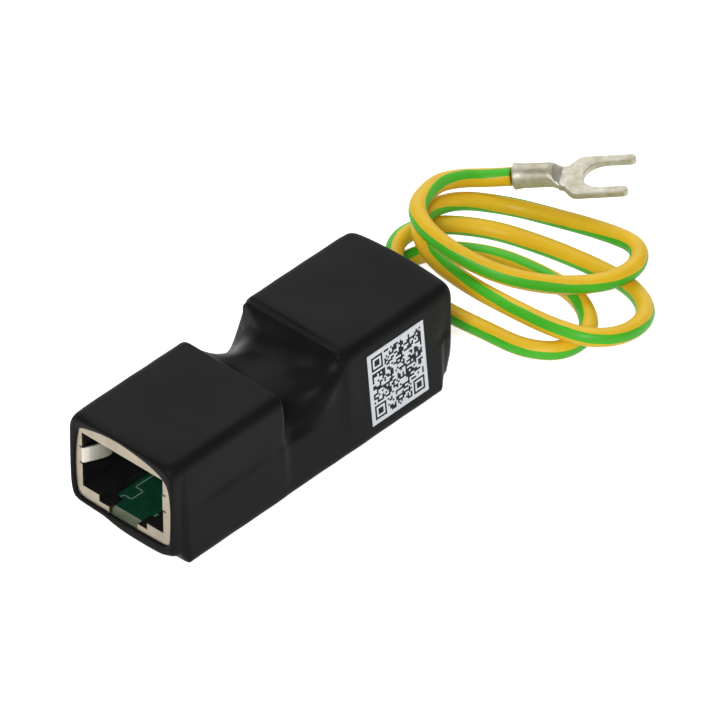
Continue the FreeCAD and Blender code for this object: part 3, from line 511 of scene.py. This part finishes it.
def reach_outwards(outline):
    """Distance from the film's middle to an outline, in each direction round the film."""
    away = outline - np.array([0.0, FILM_CENTRE])
    reach = np.zeros(FILM_TURNS)
    ray_x = np.cos(TURNS)
    ray_z = np.sin(TURNS)
    for start, end in zip(away, np.roll(away, -1, axis=0)):
        side = end - start
        across = ray_x * side[1] - ray_z * side[0]
        across = np.where(np.abs(across) < 1e-12, 1e-12, across)
        along_ray = (start[0] * side[1] - start[1] * side[0]) / across
        along_side = (start[0] * ray_z - start[1] * ray_x) / across
        hit = (along_side >= -1e-9) & (along_side <= 1 + 1e-9) & (along_ray > 0)
        reach = np.where(hit, np.maximum(reach, along_ray), reach)
    return reach


def circle_points(middle, radius):
    """Points of a circle, as (x, z)."""
    angles = np.linspace(0.0, 2 * math.pi, CIRCLE_POINTS, endpoint=False)
    return middle + radius * np.stack([np.cos(angles), np.sin(angles)], axis=1)


def hull_of(points):
    """The tight outline round a set of points."""
    order = convex_hull_2d([tuple(point) for point in points])
    return np.array([points[index] for index in order])


WIRE_SPOT = np.array([WIRE_INSIDE[0], WIRE_INSIDE[2]])
# How the film swells over the wire: where it starts, over what length, how far and how much further in
SWELL_START = 0.4
SWELL_LENGTH = 3.6
SWELL_RADIUS = WIRE_DIAMETER / 2 + 0.4
SWELL_SHIFT = 1.2

FILM_TOP = SLEEVE_TOP - CROWN
# Sections of the film: half widths at top and foot, low, high, corner radii at top and foot, crown
OVER_SOCKET = (HALF_TOP, HALF_FOOT, 0.0, (FILM_TOP, FILM_TOP), (CORNER_TOP, CORNER_TOP), CORNER_FOOT, CROWN)
RIM = (HALF_TOP, 7.85, 1.35, (FILM_TOP, FILM_TOP), (CORNER_TOP, CORNER_TOP), 0.7, CROWN)
SOCKET_CLEARANCE = 0.12      # the film's outside never comes closer to a socket than this
TIGHT_HALF = SOCKET_HALF + SOCKET_CLEARANCE
TIGHT_TOP = SOCKET_TOP + SOCKET_CLEARANCE
TIGHT = (TIGHT_HALF, TIGHT_HALF, 0.5, (TIGHT_TOP, TIGHT_TOP), (1.0, 1.0), CORNER_FOOT, 0.0)
# Outline of the film's end, as (x, z), with the slack that hangs under the plate
LIP = np.array([
    (-7.35, 2.55), (-6.6, 2.2), (-4.6, 2.05), (-2.8, 1.98), (-1.0, 1.50), (0.9, 1.30), (2.7, 1.28),
    (4.5, 1.30), (6.4, 1.42), (7.3, 2.0), (7.66, 3.6), (7.72, 7.0), (7.70, 10.5), (7.66, 12.4),
    (7.1, 13.35), (5.8, 13.68), (2.0, 13.92), (-2.0, 13.95), (-5.8, 13.72), (-7.1, 13.45), (-7.66, 12.6),
    (-7.70, 10.5), (-7.72, 7.0), (-7.68, 4.2),
])
# Outline of the hole that the film leaves in front of a plate, as (x, z)
MOUTH = np.array([
    (-6.75, 2.62), (-4.4, 2.60), (0.0, 2.50), (4.4, 2.60), (6.85, 2.72), (7.22, 3.6), (7.36, 5.8),
    (7.42, 8.6), (7.18, 10.6), (6.62, 11.7), (5.2, 12.55), (3.0, 13.1), (0.2, 13.5), (-2.0, 13.42),
    (-4.2, 13.0), (-6.35, 12.42), (-6.72, 11.4), (-6.98, 9.6), (-7.18, 6.8), (-7.08, 4.2),
])


def soften_outline(points):
    """Cut the corners of a closed outline twice, so that it looks smooth."""
    for _ in range(2):
        following = np.roll(points, -1, axis=0)
        points = np.stack([0.75 * points + 0.25 * following, 0.25 * points + 0.75 * following],
                          axis=1).reshape(-1, 2)
    return points


# Neighbouring places whose sinking is averaged, so that the film bends over a socket's edge in a round
FOLD_WEIGHTS = ((-1.0, 0.10), (-0.5, 0.24), (0.0, 0.32), (0.5, 0.24), (1.0, 0.10))


def dip_share(y, lowest, start):
    """How far one side of the film would sink between the sockets, with sharp edges."""
    if y <= -SOCKET_BACK or y >= SOCKET_BACK + start:
        return 0.0
    run = SOCKET_BACK + lowest if y < lowest else SOCKET_BACK + start - lowest
    power = DIP_GENTLE if run > SOCKET_BACK else DIP_STEEP
    return DIP_SHARE * (1 - (abs(y - lowest) / run) ** power)


def soft_dip_share(y, lowest, start, rear_fold):
    """The same with rounded edges."""
    fold = FRONT_FOLD + (rear_fold - FRONT_FOLD) * float(smooth_step(y / FOLD_CHANGE))
    return sum(weight * dip_share(y + offset * fold, lowest, start) for offset, weight in FOLD_WEIGHTS)


def dip_section(y):
    """Outline of the film between the sockets, where its two sides sink by different amounts."""
    sinks = [soft_dip_share(y, lowest, start, fold)
             for lowest, start, fold in zip((DIP_OFFSET, -DIP_OFFSET), SINK_STARTS, REAR_FOLDS)]
    high = [FILM_TOP - sink * (FILM_TOP - VALLEY_TOP) for sink in sinks]
    corner_top = [CORNER_TOP + sink * (corner - CORNER_TOP) for sink, corner in zip(sinks, VALLEY_CORNERS)]
    half_top = HALF_TOP - max(sinks) * (HALF_TOP - VALLEY_HALF)
    return rounded_section(half_top, HALF_FOOT, 0.0, high, corner_top, CORNER_FOOT, CROWN)


def swollen(outline, y):
    """The outline pulled tight round the wire as well, where the wire runs under the film."""
    growth = float(smooth_step((y - SWELL_START) / SWELL_LENGTH))
    if growth <= 0:
        return outline
    middle = WIRE_SPOT + np.array([(1 - growth) * SWELL_SHIFT, 0.0])
    return hull_of(np.vstack([outline, circle_points(middle, SWELL_RADIUS * growth)]))


def along_film():
    """Places along the film from the front rim to the rear rim, closer where it turns."""
    half = np.concatenate([
        np.linspace(0.0, SOCKET_BACK - 0.9, 18),
        np.linspace(SOCKET_BACK - 0.8, SOCKET_BACK + 0.8, 17),
        np.linspace(SOCKET_BACK + 1.1, RIM_PLACE - 2.2, 26),
        np.linspace(RIM_PLACE - 2.0, RIM_PLACE, 10),
    ])
    return np.concatenate([-half[::-1], half[1:]])


FRONT_ROLL = 0.4             # length of the round at the front socket's inner edge, and at the rear one's
REAR_ROLL = 1.3
ROLL_SLACK = 0.12            # how far inside its full size the film may lie behind that round
RIM_CURL = 1.15              # length over which the film's foot curls up to its rim
CREASE_SOFTNESS = 0.08
TIGHT_REACH = reach_outwards(rounded_section(*TIGHT))
FULL_REACH = reach_outwards(rounded_section(*OVER_SOCKET))


def soft_maximum(first, second):
    """The larger of two values, without a crease where they meet."""
    gap = first - second
    return (first + second + np.sqrt(gap * gap + CREASE_SOFTNESS ** 2)) / 2


def socket_reach(y):
    """The closest that the film comes over a socket: tight at its inner edge, and full behind a round."""
    roll = REAR_ROLL if y > 0 else FRONT_ROLL
    behind = min(max((abs(y) - SOCKET_BACK) / roll, 0.0), 1.0)
    grown = 1 - (1 - behind) ** 2
    return TIGHT_REACH * (1 - grown) + (FULL_REACH - ROLL_SLACK) * grown


def film_reach(y, inset=0.0):
    """Distance of the film from its middle all the way round, at a place along the part."""
    reach = reach_outwards(swollen(dip_section(y), y))
    if abs(y) > SOCKET_BACK - SOCKET_CLEARANCE:
        reach = soft_maximum(reach, socket_reach(y))
    curl = float(smooth_step((abs(y) - (RIM_PLACE - RIM_CURL)) / RIM_CURL))
    if curl > 0:
        curled = reach_outwards(swollen(rounded_section(*RIM), y))
        reach = reach * (1 - curl) + curled * curl
    return reach + film_unevenness(y) - inset


# Swellings and dents of the film: place along, turn from its right side, length, spread in turn, height
BUMPS = (
    (2.3, 0.90, 1.2, 0.18, 0.5),                # over the parts between the sockets
    (1.8, 0.48, 1.5, 0.20, 0.6),
    (-2.5, -0.05, 2.1, 0.6, -0.5),              # the waist on the right
    (-13.5, math.pi / 2, 5.5, 0.5, -0.12),      # shallow hollows on top of the sockets
    (13.5, math.pi / 2, 5.5, 0.5, -0.12),
    (-13.5, 0.0, 5.5, 0.4, -0.12),              # and beside the front one
    (21.2, -0.2, 1.3, 0.5, -0.28),              # a dent by the rear lip
)
SLACK = 0.021                # height of the film's long shallow waves


def film_unevenness(y):
    """Dents, swellings and slack that the film shows."""
    rise = SLACK * np.sin(3.1 * TURNS + 0.9 * y) * math.sin(0.43 * y + 1.0)
    for place, turn, length, spread, height in BUMPS:
        along = (y - place) / length
        around = (TURNS - turn) / spread
        rise = rise + height * np.exp(-along * along - around * around)
    return rise


def ring_points(reach, y):
    """A ring of points round the film; y is one place along the part, or one for each point."""
    across = reach * np.cos(TURNS)
    up = FILM_CENTRE + reach * np.sin(TURNS)
    return np.stack([across, np.full(FILM_TURNS, y), up], axis=1)


WIRE_ROOM = 0.03             # round the wire, in the lip that it comes out of
LIP_ROOM = 0.02              # from the lip to the solid sleeve's end, and from its hole's edge to the plate
LIP_RAMP = 0.12              # how far before the lip's foremost line its rounded edge begins
LIP_SWAY = 0.05
LIP_EASE = 1.8               # power with which the rim turns into the lip
# The lip's rounded edge: share of the way from the hole out to its rim, and how far back it lies
LIP_EDGE = ((0.96, 0.06), (0.86, 0.01), (0.7, 0.0), (0.5, 0.0), (0.3, 0.02), (0.12, 0.06), (0.03, 0.13),
            (0.0, 0.22))


def mouth_reach(side):
    """Distance from the film's middle to the hole in front of a plate."""
    reach = reach_outwards(soften_outline(MOUTH) * np.array([-side, 1.0]))
    if side > 0:
        reach = np.maximum(reach, reach_outwards(circle_points(WIRE_SPOT, WIRE_DIAMETER / 2 + WIRE_ROOM)))
    return reach


def lip_rings(side):
    """Rings from the film's rim over the rounded lip to the hole's edge on the plate."""
    end = side * (SLEEVE_END - LIP_ROOM)
    rim = side * RIM_PLACE
    rim_reach = film_reach(rim)
    lip_reach = reach_outwards(swollen(soften_outline(LIP) * np.array([-side, 1.0]), end))
    hole = mouth_reach(side)
    wave = LIP_SWAY * (1 + 0.10 * np.sin(2 * TURNS + side) + 0.05 * np.sin(5 * TURNS + 2.0 * side))
    rings = []
    for share in (0.2, 0.4, 0.6, 0.8):
        eased = share ** LIP_EASE
        rings.append(ring_points(rim_reach * (1 - eased) + lip_reach * eased,
                                 rim + (end - side * LIP_RAMP - rim) * share))
    for share, back in LIP_EDGE:
        rings.append(ring_points(hole + (lip_reach - hole) * share, end - side * (back + wave)))
    rings.append(ring_points(hole, side * (PLATE_FACE + LIP_ROOM)))
    return rings


def make_sleeve():
    """The shrunk film as one closed shell: outside, both lips and inside."""
    places = along_film()
    outside = [ring_points(film_reach(y), y) for y in places]
    inside = [ring_points(film_reach(y, FILM), y) for y in places[::3][::-1]]
    rings = lip_rings(-1)[::-1] + outside + lip_rings(1) + inside
    faces = [face[::-1] for face in ring_faces(len(rings), FILM_TURNS)]
    piece = finish_piece("film_sleeve", np.vstack(rings), faces, ["film"], "sleeve_film")
    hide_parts("sleeve")


# The label: a square pattern that encodes nothing, with three frame squares
LABEL_LOW = lowest("label")
LABEL_HIGH = highest("label")
LABEL_CELLS = 31
LABEL_MARGIN = 2
FRAME_SQUARE = 7
LABEL_LEAN = 0.55            # how far its upper edge lies nearer to the front than its lower one
LABEL_SHIFT = (-0.33, 0.26)  # from the solid label's place to where it was stuck, along and up
LABEL_TRIM = 0.22            # how much shorter than the solid it is at each end
LABEL_THICKNESS = 0.07
LABEL_SEED = 11
INK_AFTER_INK = 0.60         # chance that a cell is inked, after an inked one and after a plain one
INK_AFTER_PAPER = 0.48


def in_frame_square(row, column):
    """Whether a cell belongs to a frame square or its quiet border; and whether it is inked there."""
    last = LABEL_CELLS - FRAME_SQUARE
    for row_start, column_start in ((0, 0), (last, 0), (0, last)):
        down = row - row_start
        across = column - column_start
        if -1 <= down <= FRAME_SQUARE and -1 <= across <= FRAME_SQUARE:
            ring = max(abs(down - FRAME_SQUARE // 2), abs(across - FRAME_SQUARE // 2))
            return True, ring in (0, 1, 3)  # a square dot, and a frame round it
    return False, False


def label_pattern():
    """Which cells of the label are inked, row by row from its foot."""
    draw = random.Random(LABEL_SEED)
    cells = []
    for row in range(LABEL_CELLS):
        line = []
        for column in range(LABEL_CELLS):
            framed, inked = in_frame_square(row, column)
            beside = line[-1] if line else False
            chance = draw.random() < (INK_AFTER_INK if beside else INK_AFTER_PAPER)
            line.append(inked if framed else chance)
        cells.append(line)
    return cells


def film_side_at(y, heights_wanted):
    """How far the film's right side stands out at a place along, for a set of heights."""
    ring = ring_points(film_reach(y), y)
    side = ring[ring[:, 0] > HALF_TOP / 4]
    side = side[np.argsort(side[:, 2])]
    return np.interp(heights_wanted, side[:, 2], side[:, 0])


def make_label():
    """Paper label that follows the film, with one face for each cell of its pattern."""
    count = LABEL_CELLS + 2 * LABEL_MARGIN
    y_lines = np.linspace(LABEL_LOW[1] + LABEL_TRIM, LABEL_HIGH[1] - LABEL_TRIM, count + 1) + LABEL_SHIFT[0]
    z_lines = np.linspace(LABEL_LOW[2], LABEL_HIGH[2], count + 1) + LABEL_SHIFT[1]
    lean = LABEL_LEAN * ((z_lines[0] + z_lines[-1]) / 2 - z_lines) / (LABEL_HIGH[2] - LABEL_LOW[2])
    side = np.array([film_side_at(y, z_lines) for y in y_lines]).T
    points = [(side[row, column] + lift, y + lean[row], z)
              for lift in (LABEL_THICKNESS, 0.0)
              for row, z in enumerate(z_lines)
              for column, y in enumerate(y_lines)]
    inked = np.pad(np.array(label_pattern(), int), LABEL_MARGIN)
    across = count + 1
    layer = across ** 2
    faces = []
    inks = []
    for row in range(count):
        for column in range(count):
            low = row * across + column
            high = low + across
            faces += [(low, low + 1, high + 1, high),
                      (layer + low, layer + high, layer + high + 1, layer + low + 1)]
            inks += [int(inked[row, column]), 0]
    corner = across * count
    border = [*range(count), *range(count, corner + count, across), *range(corner + count, corner, -1),
              *range(corner, 0, -across)]
    for start, end in zip(border, border[1:] + border[:1]):
        faces.append((start, layer + start, layer + end, end))
        inks.append(0)
    piece = finish_piece("printed_label", points, faces, ["paper", "ink"], "label_paper", smooth=False,
                         face_materials=inks)
    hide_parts("label")


# The earth wire

def read_route():
    """Points along the wire's smooth line, in millimetres."""
    curve = bpy.data.curves.new("earth_route", "CURVE")
    curve.dimensions = "3D"
    curve.resolution_u = 12
    spline = curve.splines.new("NURBS")
    spline.points.add(len(EARTH_ROUTE) - 1)
    for point, place in zip(spline.points, EARTH_ROUTE):
        point.co = (*[value * MM for value in place], 1.0)
    spline.order_u = 3
    spline.use_endpoint_u = True
    holder = bpy.data.objects.new("earth_route", curve)
    mesh = bpy.data.meshes.new_from_object(holder)
    line = np.array([tuple(vertex.co) for vertex in mesh.vertices]) / MM
    bpy.data.objects.remove(holder)
    bpy.data.meshes.remove(mesh)
    return line


def line_directions(line):
    """Unit direction of a line at each of its points."""
    ahead = np.gradient(line, axis=0)
    return ahead / np.linalg.norm(ahead, axis=1)[:, None]


def make_wire(line):
    """The wire's covering as a tube, with a map that tells the distance along it and the turn round it."""
    directions = line_directions(line)
    directions[0] = (0.0, 1.0, 0.0)
    steps = np.linalg.norm(np.diff(line, axis=0), axis=1)
    along = np.concatenate([[0.0], np.cumsum(steps)])
    stripe_at, stripe_turn = zip(*STRIPE_TURNS)
    turn_of_stripe = np.interp(along, stripe_at, stripe_turn) / 360.0
    angles = np.linspace(0.0, 2 * math.pi, WIRE_SIDES, endpoint=False)
    rings = []
    marks = []
    for number, (place, ahead) in enumerate(zip(line, directions)):
        up = np.array([0.0, 0.0, 1.0]) - ahead[2] * ahead
        up /= np.linalg.norm(up)
        beside = np.cross(ahead, up)
        around = np.outer(np.cos(angles), up) + np.outer(np.sin(angles), beside)
        for share in WIRE_START if number == 0 else WIRE_END if number == len(line) - 1 else (1.0,):
            rings.append(place + WIRE_DIAMETER / 2 * share * around)
            marks.append((along[number], turn_of_stripe[number]))
    faces = tube_faces(len(rings), WIRE_SIDES)
    piece = finish_piece("earth_wire_covering", np.vstack(rings), faces, ["wire"], "wire_cover")
    write_lay(piece.data, piece.data.uv_layers.new(name="lay"), marks)
    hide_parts("earth_wire")
    return piece


LAY_SCALE = 0.01
LAY_LIFT = 4.0               # keeps every turn in the map above zero


def write_lay(mesh, lay, marks):
    """Store distance and turn for each corner of the wire's faces, without a jump at the seam."""
    for polygon in mesh.polygons:
        indices = [mesh.loops[loop].vertex_index for loop in polygon.loop_indices]
        columns = [index % WIRE_SIDES for index in indices]
        crosses = max(columns) - min(columns) > 1
        for loop, index in zip(polygon.loop_indices, indices):
            column = index % WIRE_SIDES
            if crosses and column == 0:
                column = WIRE_SIDES
            distance, turn = marks[index // WIRE_SIDES]
            lay.data[loop].uv = (distance * LAY_SCALE, column / WIRE_SIDES - turn + LAY_LIFT)


def end_frame():
    """Matrix, in millimetres, from the terminal's own frame (X along its axis, Z off its flat)."""
    end = Vector(EARTH_ROUTE[-1])
    axis = (end - Vector(EARTH_ROUTE[-2])).normalized()
    normal = (FORK_NORMAL - axis * FORK_NORMAL.dot(axis)).normalized()
    across = normal.cross(axis)
    turn = Matrix((axis, across, normal)).transposed().to_4x4()
    return Matrix.Translation(end) @ turn


STRAND_RADIUS = 0.21
STRAND_LENGTH = 3.5
STRAND_SIDES = 10
STRAND_STEPS = 14
STRAND_TWIST = math.radians(150)


def make_strands(to_part):
    """Seven bare copper strands, six of them twisted round the middle one."""
    solids = []
    for strand in range(7):
        distance = 0.0 if strand == 0 else 2 * STRAND_RADIUS
        points = []
        for step in range(STRAND_STEPS + 1):
            share = step / STRAND_STEPS
            turn = strand * math.pi / 3 + STRAND_TWIST * share
            middle = Vector((STRAND_LENGTH * share, distance * math.cos(turn), distance * math.sin(turn)))
            for side in range(STRAND_SIDES):
                angle = 2 * math.pi * side / STRAND_SIDES
                around = Vector((0.0, math.cos(angle), math.sin(angle))) * STRAND_RADIUS
                points.append(tuple(to_part @ (middle + around)))
        solids.append((points, tube_faces(STRAND_STEPS + 1, STRAND_SIDES)))
    piece = finish_piece("copper_strands", *join_solids(solids), ["copper"], "wire_copper")
    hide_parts("earth_strands")
    return piece


# The fork terminal, in its own frame: X from the barrel's mouth, Z off the fork's flat
TERMINAL_GAP = 0.35
BARREL_BORE = 1.15
BARREL_SIDES = 48
FORK_FLOOR = -1.15
FORK_TOP = -0.35
FORK_HALF = 3.5
FORK_SLOT_HALF = 2.35
FORK_SLOT_START = 8.0
FORK_TIP = 13.75
# Half outline of the fork behind its tines, and the bore from its end to its mouth: place and half width
SHOULDER = [(5.3, 1.7), (5.9, 1.85), (6.6, 2.75), (7.1, 3.3), (7.6, FORK_HALF)]
BORE_SECTIONS = [(4.0, BARREL_BORE), (2.0, BARREL_BORE), (0.25, BARREL_BORE), (0.0, BARREL_BORE + 0.12)]
# Barrel and neck: place along the axis, half width, foot, top and squareness of the section
NECK_SECTIONS = [
    (0.0, 1.575, -1.575, 1.575, 2.0),
    (0.45, 1.53, -1.53, 1.53, 2.0),
    (1.0, 1.44, -1.45, 1.45, 2.0),
    (1.6, 1.45, -1.45, 1.42, 2.0),
    (3.0, 1.47, -1.45, 1.40, 2.0),
    (4.2, 1.50, -1.44, 1.32, 2.1),
    (4.7, 1.58, -1.40, 1.02, 2.3),
    (5.1, 1.68, -1.28, 0.35, 2.8),
    (5.5, 1.82, -1.18, -0.12, 3.6),
    (6.0, 2.10, -1.15, -0.33, 5.0),
    (6.4, 2.35, -1.13, -0.37, 6.0),
]


def section_ring(place, half, foot, top, squareness):
    """A superellipse ring across the terminal's axis."""
    middle = (foot + top) / 2
    ring = []
    for side in range(BARREL_SIDES):
        angle = 2 * math.pi * side / BARREL_SIDES
        across = math.copysign(abs(math.cos(angle)) ** (2 / squareness), math.cos(angle)) * half
        up = math.copysign(abs(math.sin(angle)) ** (2 / squareness), math.sin(angle)) * (top - foot) / 2
        ring.append((place, across, middle + up))
    return ring


def barrel_solid():
    """Closed barrel and neck with the bore in it."""
    rings = [section_ring(place, radius, -radius, radius, 2.0) for place, radius in BORE_SECTIONS]
    rings += [section_ring(*values) for values in NECK_SECTIONS]
    return [point for ring in rings for point in ring], tube_faces(len(rings), BARREL_SIDES)


def arc_points(x, y, radius, sweep, steps):
    """Points of an arc round (x, y) that starts straight down and sweeps on by an angle."""
    angles = [-math.pi / 2 + sweep * step / steps for step in range(steps + 1)]
    return [(x + radius * math.cos(angle), y + radius * math.sin(angle)) for angle in angles]


def fork_solid():
    """Closed plate of the fork: shoulders, two tines with round tips, round slot."""
    tine_half = (FORK_HALF - FORK_SLOT_HALF) / 2
    tine_middle = FORK_SLOT_HALF + tine_half
    tip = FORK_TIP - tine_half
    outline = [(x, -y) for x, y in SHOULDER]
    outline += arc_points(tip, -tine_middle, tine_half, math.pi, 8)
    outline += arc_points(FORK_SLOT_START + FORK_SLOT_HALF, 0.0, FORK_SLOT_HALF, -math.pi, 18)
    outline += arc_points(tip, tine_middle, tine_half, math.pi, 8)
    outline += SHOULDER[::-1]
    points = [(x, y, z) for z in (FORK_FLOOR, FORK_TOP) for x, y in outline]
    return points, tube_faces(2, len(outline))


MELT_VOXEL = 0.08
MELT_ROUNDS = 4


def melt_together(*solids):
    """Merge closed solids into one skin whose joints and edges are softly rounded."""
    points, faces = join_solids(solids)
    mesh = bpy.data.meshes.new("terminal_draft")
    mesh.from_pydata(points, [], faces)
    holder = link_object("terminal_draft", mesh)
    remesh = holder.modifiers.new("merge", "REMESH")
    remesh.mode = "VOXEL"
    remesh.voxel_size = MELT_VOXEL
    soften = holder.modifiers.new("soften", "SMOOTH")
    soften.factor = 0.5
    soften.iterations = MELT_ROUNDS
    seen = holder.evaluated_get(bpy.context.evaluated_depsgraph_get())
    merged = bpy.data.meshes.new_from_object(seen)
    bpy.data.objects.remove(holder)
    merged_points = [vertex.co.copy() for vertex in merged.vertices]
    merged_faces = [tuple(polygon.vertices) for polygon in merged.polygons]
    bpy.data.meshes.remove(merged)
    return merged_points, merged_faces


def make_terminal(to_part):
    """The fork terminal, as one rounded skin."""
    points, faces = melt_together(barrel_solid(), fork_solid())
    shifted = to_part @ Matrix.Translation((TERMINAL_GAP, 0.0, 0.0))
    placed = [tuple(shifted @ point) for point in points]
    piece = finish_piece("fork_terminal_skin", placed, faces, ["terminal"], "terminal_metal")
    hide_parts("fork_terminal")
    return piece


# The sockets

SPRING_METAL = 0.2
SPRING_EDGE = 0.06           # width of the strips along a spring's long edges
# A spring's line from the plate's face into the socket: inward from the window's side, and depth
SPRING_LINE = [
    (-0.05, -0.02), (0.04, 0.0), (0.22, 0.15), (0.50, 0.7), (0.85, 1.4), (1.15, 2.1), (1.35, 2.8),
    (1.35, 3.3), (1.1, 3.75), (0.7, 4.1),
]


def make_springs(end, side):
    """Two bent grounding springs, rolled off the plate and bowed into the socket."""
    line = np.array(SPRING_LINE)
    ahead = line_directions(line)
    backs = line + np.stack([-ahead[:, 1], ahead[:, 0]], axis=1) * SPRING_METAL
    levels = (SPRING_FLOOR, SPRING_FLOOR + SPRING_EDGE, SPRING_TOP - SPRING_EDGE, SPRING_TOP)
    solids = []
    for hand in (-1, 1):
        points = []
        for front, back in zip(line, backs):
            for (inward, depth), heights in ((front, levels), (back, levels[::-1])):
                x = -side * hand * (WINDOW_HALF - inward)
                points += [(x, side * (PLATE_FACE - depth), height) for height in heights]
        solids.append((points, tube_faces(len(line), 2 * len(levels))))
    piece = finish_piece(f"{end}_spring_strips", *join_solids(solids), ["spring metal"], "socket_metal")
    tidy_normals(piece)
    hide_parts(f"{end}_springs")


SLIT = 0.24                  # height of the small notches at the ends of a spring, in the window's edge
SLIT_WIDTH = 1.6 * SLIT
SLIT_STAND = 0.02


def make_slits(end, side):
    """Small dark notches in the plate, above and below the root of each spring."""
    solids = []
    for hand in (-1, 1):
        for low in (SPRING_FLOOR - SLIT, SPRING_TOP):
            points = []
            for place in (PLATE_FACE - SLIT, PLATE_FACE + SLIT_STAND):
                for across, height in ((0.0, 0.0), (SLIT_WIDTH, 0.0), (SLIT_WIDTH, SLIT), (0.0, SLIT)):
                    points.append((-side * hand * (WINDOW_HALF + across), side * place, low + height))
            solids.append((points, BOX_FACES))
    piece = finish_piece(f"{end}_spring_slits", *join_solids(solids), ["socket plastic"], "socket_plastic",
                         smooth=False)
    tidy_normals(piece)


TRACK_HALF = 0.07
TRACK_METAL = 0.03
# Tracks on the board inside a socket, as (across, depth from the plate)
TRACKS = [
    [(-2.69, 2.2), (-2.74, 2.89), (-1.55, 2.93), (-1.53, 4.74), (-2.73, 4.79), (-2.62, 8.2), (-1.9, 9.0)],
    [(2.33, 2.5), (2.41, 3.96), (2.9, 4.5), (2.9, 8.9)],
    [(0.4, 6.4), (0.4, 8.9)],
]


def make_tracks(end, side):
    """Thin printed tracks on the board, seen through the socket's floor."""
    solids = []
    for track in TRACKS:
        line = np.array(track)
        for start, finish in zip(line, line[1:]):
            run = (finish - start) / np.linalg.norm(finish - start) * TRACK_HALF
            beside = np.array([-run[1], run[0]])
            first = start - run
            last = finish + run
            points = [(-side * across, side * (PLATE_FACE - depth), height)
                      for height in (BOARD_TOP, BOARD_TOP + TRACK_METAL)
                      for across, depth in (first - beside, last - beside, last + beside, first + beside)]
            solids.append((points, BOX_FACES))
    piece = finish_piece(f"{end}_board_tracks", *join_solids(solids), ["track"], "board_laminate",
                         smooth=False)
    tidy_normals(piece)


FINISHES = {
    "board": ["circuit_board"],
    "ceramic": ["gas_tubes"],
    "case": ["clamp_diodes", "surge_resistors"],
    "tin": ["gas_tube_caps", "diode_leads", "resistor_ends", "earth_lug", "front_solder", "rear_solder"],
    "wire": ["earth_wire_inside"],
    "copper": ["earth_copper"],
    "socket metal": ["front_shield", "rear_shield"],
    "socket plastic": ["front_housing", "rear_housing", "front_contact_block", "rear_contact_block"],
    "gold": ["front_contacts", "rear_contacts"],
}


def dress_nodes():
    """Give the solids that stay in view their finishes."""
    for material, nodes in FINISHES.items():
        for node in nodes:
            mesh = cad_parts[node].data
            mesh.materials.clear()
            mesh.materials.append(MATERIALS[material])


# Floor, light and camera

FLOOR_HALF = 1.5             # metres, as all the places below
FLOOR_DROP = 0.00002
FLOOR_LIFT = 0.75            # glow that makes the floor white to the camera
AIM = (0.0, 0.01, 0.0)


def make_floor():
    """Pale floor that shows white where no shadow falls."""
    mesh = bpy.data.meshes.new("floor")
    corners = ((-1, -1), (1, -1), (1, 1), (-1, 1))
    points = [(x * FLOOR_HALF, y * FLOOR_HALF, -FLOOR_DROP) for x, y in corners]
    mesh.from_pydata(points, [], [(0, 1, 2, 3)])
    material = bpy.data.materials.new("White floor")
    tree = empty_tree(material)
    path = add_node(tree, "LightPath").outputs
    seen = add_math(tree, "MAXIMUM", path["Is Camera Ray"], path["Is Glossy Ray"])
    seen = add_math(tree, "MAXIMUM", seen, path["Is Transmission Ray"])
    paint = add_node(tree, "BsdfDiffuse", {"Color": (0.8, 0.8, 0.8, 1.0)})
    glow = add_node(tree, "Emission", {"Strength": add_math(tree, "MULTIPLY", seen, FLOOR_LIFT)})
    both = add_node(tree, "AddShader", {0: paint.outputs["BSDF"], 1: glow.outputs["Emission"]})
    add_node(tree, "OutputMaterial", {"Surface": both.outputs["Shader"]})
    mesh.materials.append(material)
    link_object("floor", mesh)


def make_world():
    """Studio surroundings: white up to the horizon and dim overhead."""
    world = bpy.data.worlds.new("Studio")
    bpy.context.scene.world = world
    tree = empty_tree(world)
    place = add_node(tree, "TexCoord").outputs["Generated"]
    height = add_node(tree, "SeparateXYZ", {"Vector": place}).outputs["Z"]
    sky = add_node(tree, "Background", {"Strength": add_range(tree, height, (0.03, 0.35), (1.0, 0.30))})
    add_node(tree, "OutputWorld", {"Surface": sky.outputs["Background"]})


def add_softbox(name, place, size, power):
    """A square lamp that looks at the part."""
    lamp = bpy.data.lights.new(name, "AREA")
    lamp.shape = "RECTANGLE"
    lamp.size = size
    lamp.size_y = size
    lamp.energy = power
    holder = link_object(name, lamp)
    holder.location = place
    holder.rotation_euler = (Vector(AIM) - Vector(place)).to_track_quat("-Z", "Y").to_euler()


def make_lights():
    """A big soft key from the back left, and a weaker lamp from the front right."""
    make_world()
    add_softbox("key", (-0.42, 0.46, 0.70), 1.0, 5.6)
    add_softbox("front", (0.40, -0.62, 0.62), 0.22, 5.0)


def make_camera():
    """Long lens from the front right, looking down."""
    lens = bpy.data.cameras.new("camera")
    lens.lens = CAMERA_LENS
    lens.sensor_width = 36.0
    lens.clip_start = 0.01
    camera = link_object("camera", lens)
    camera.location = CAMERA_PLACE
    camera.rotation_euler = (CAMERA_TILT, 0.0, CAMERA_TURN)
    bpy.context.scene.camera = camera


make_camera()
make_floor()
make_lights()
bpy.context.scene.view_settings.view_transform = "Standard"
dress_nodes()
route_line = read_route()
wire = make_wire(route_line)
terminal_place = end_frame()
strands = make_strands(terminal_place)
terminal = make_terminal(terminal_place)
make_sleeve()
make_label()
for socket_end, socket_side in (("front", -1), ("rear", 1)):
    make_springs(socket_end, socket_side)
    make_slits(socket_end, socket_side)
    make_tracks(socket_end, socket_side)
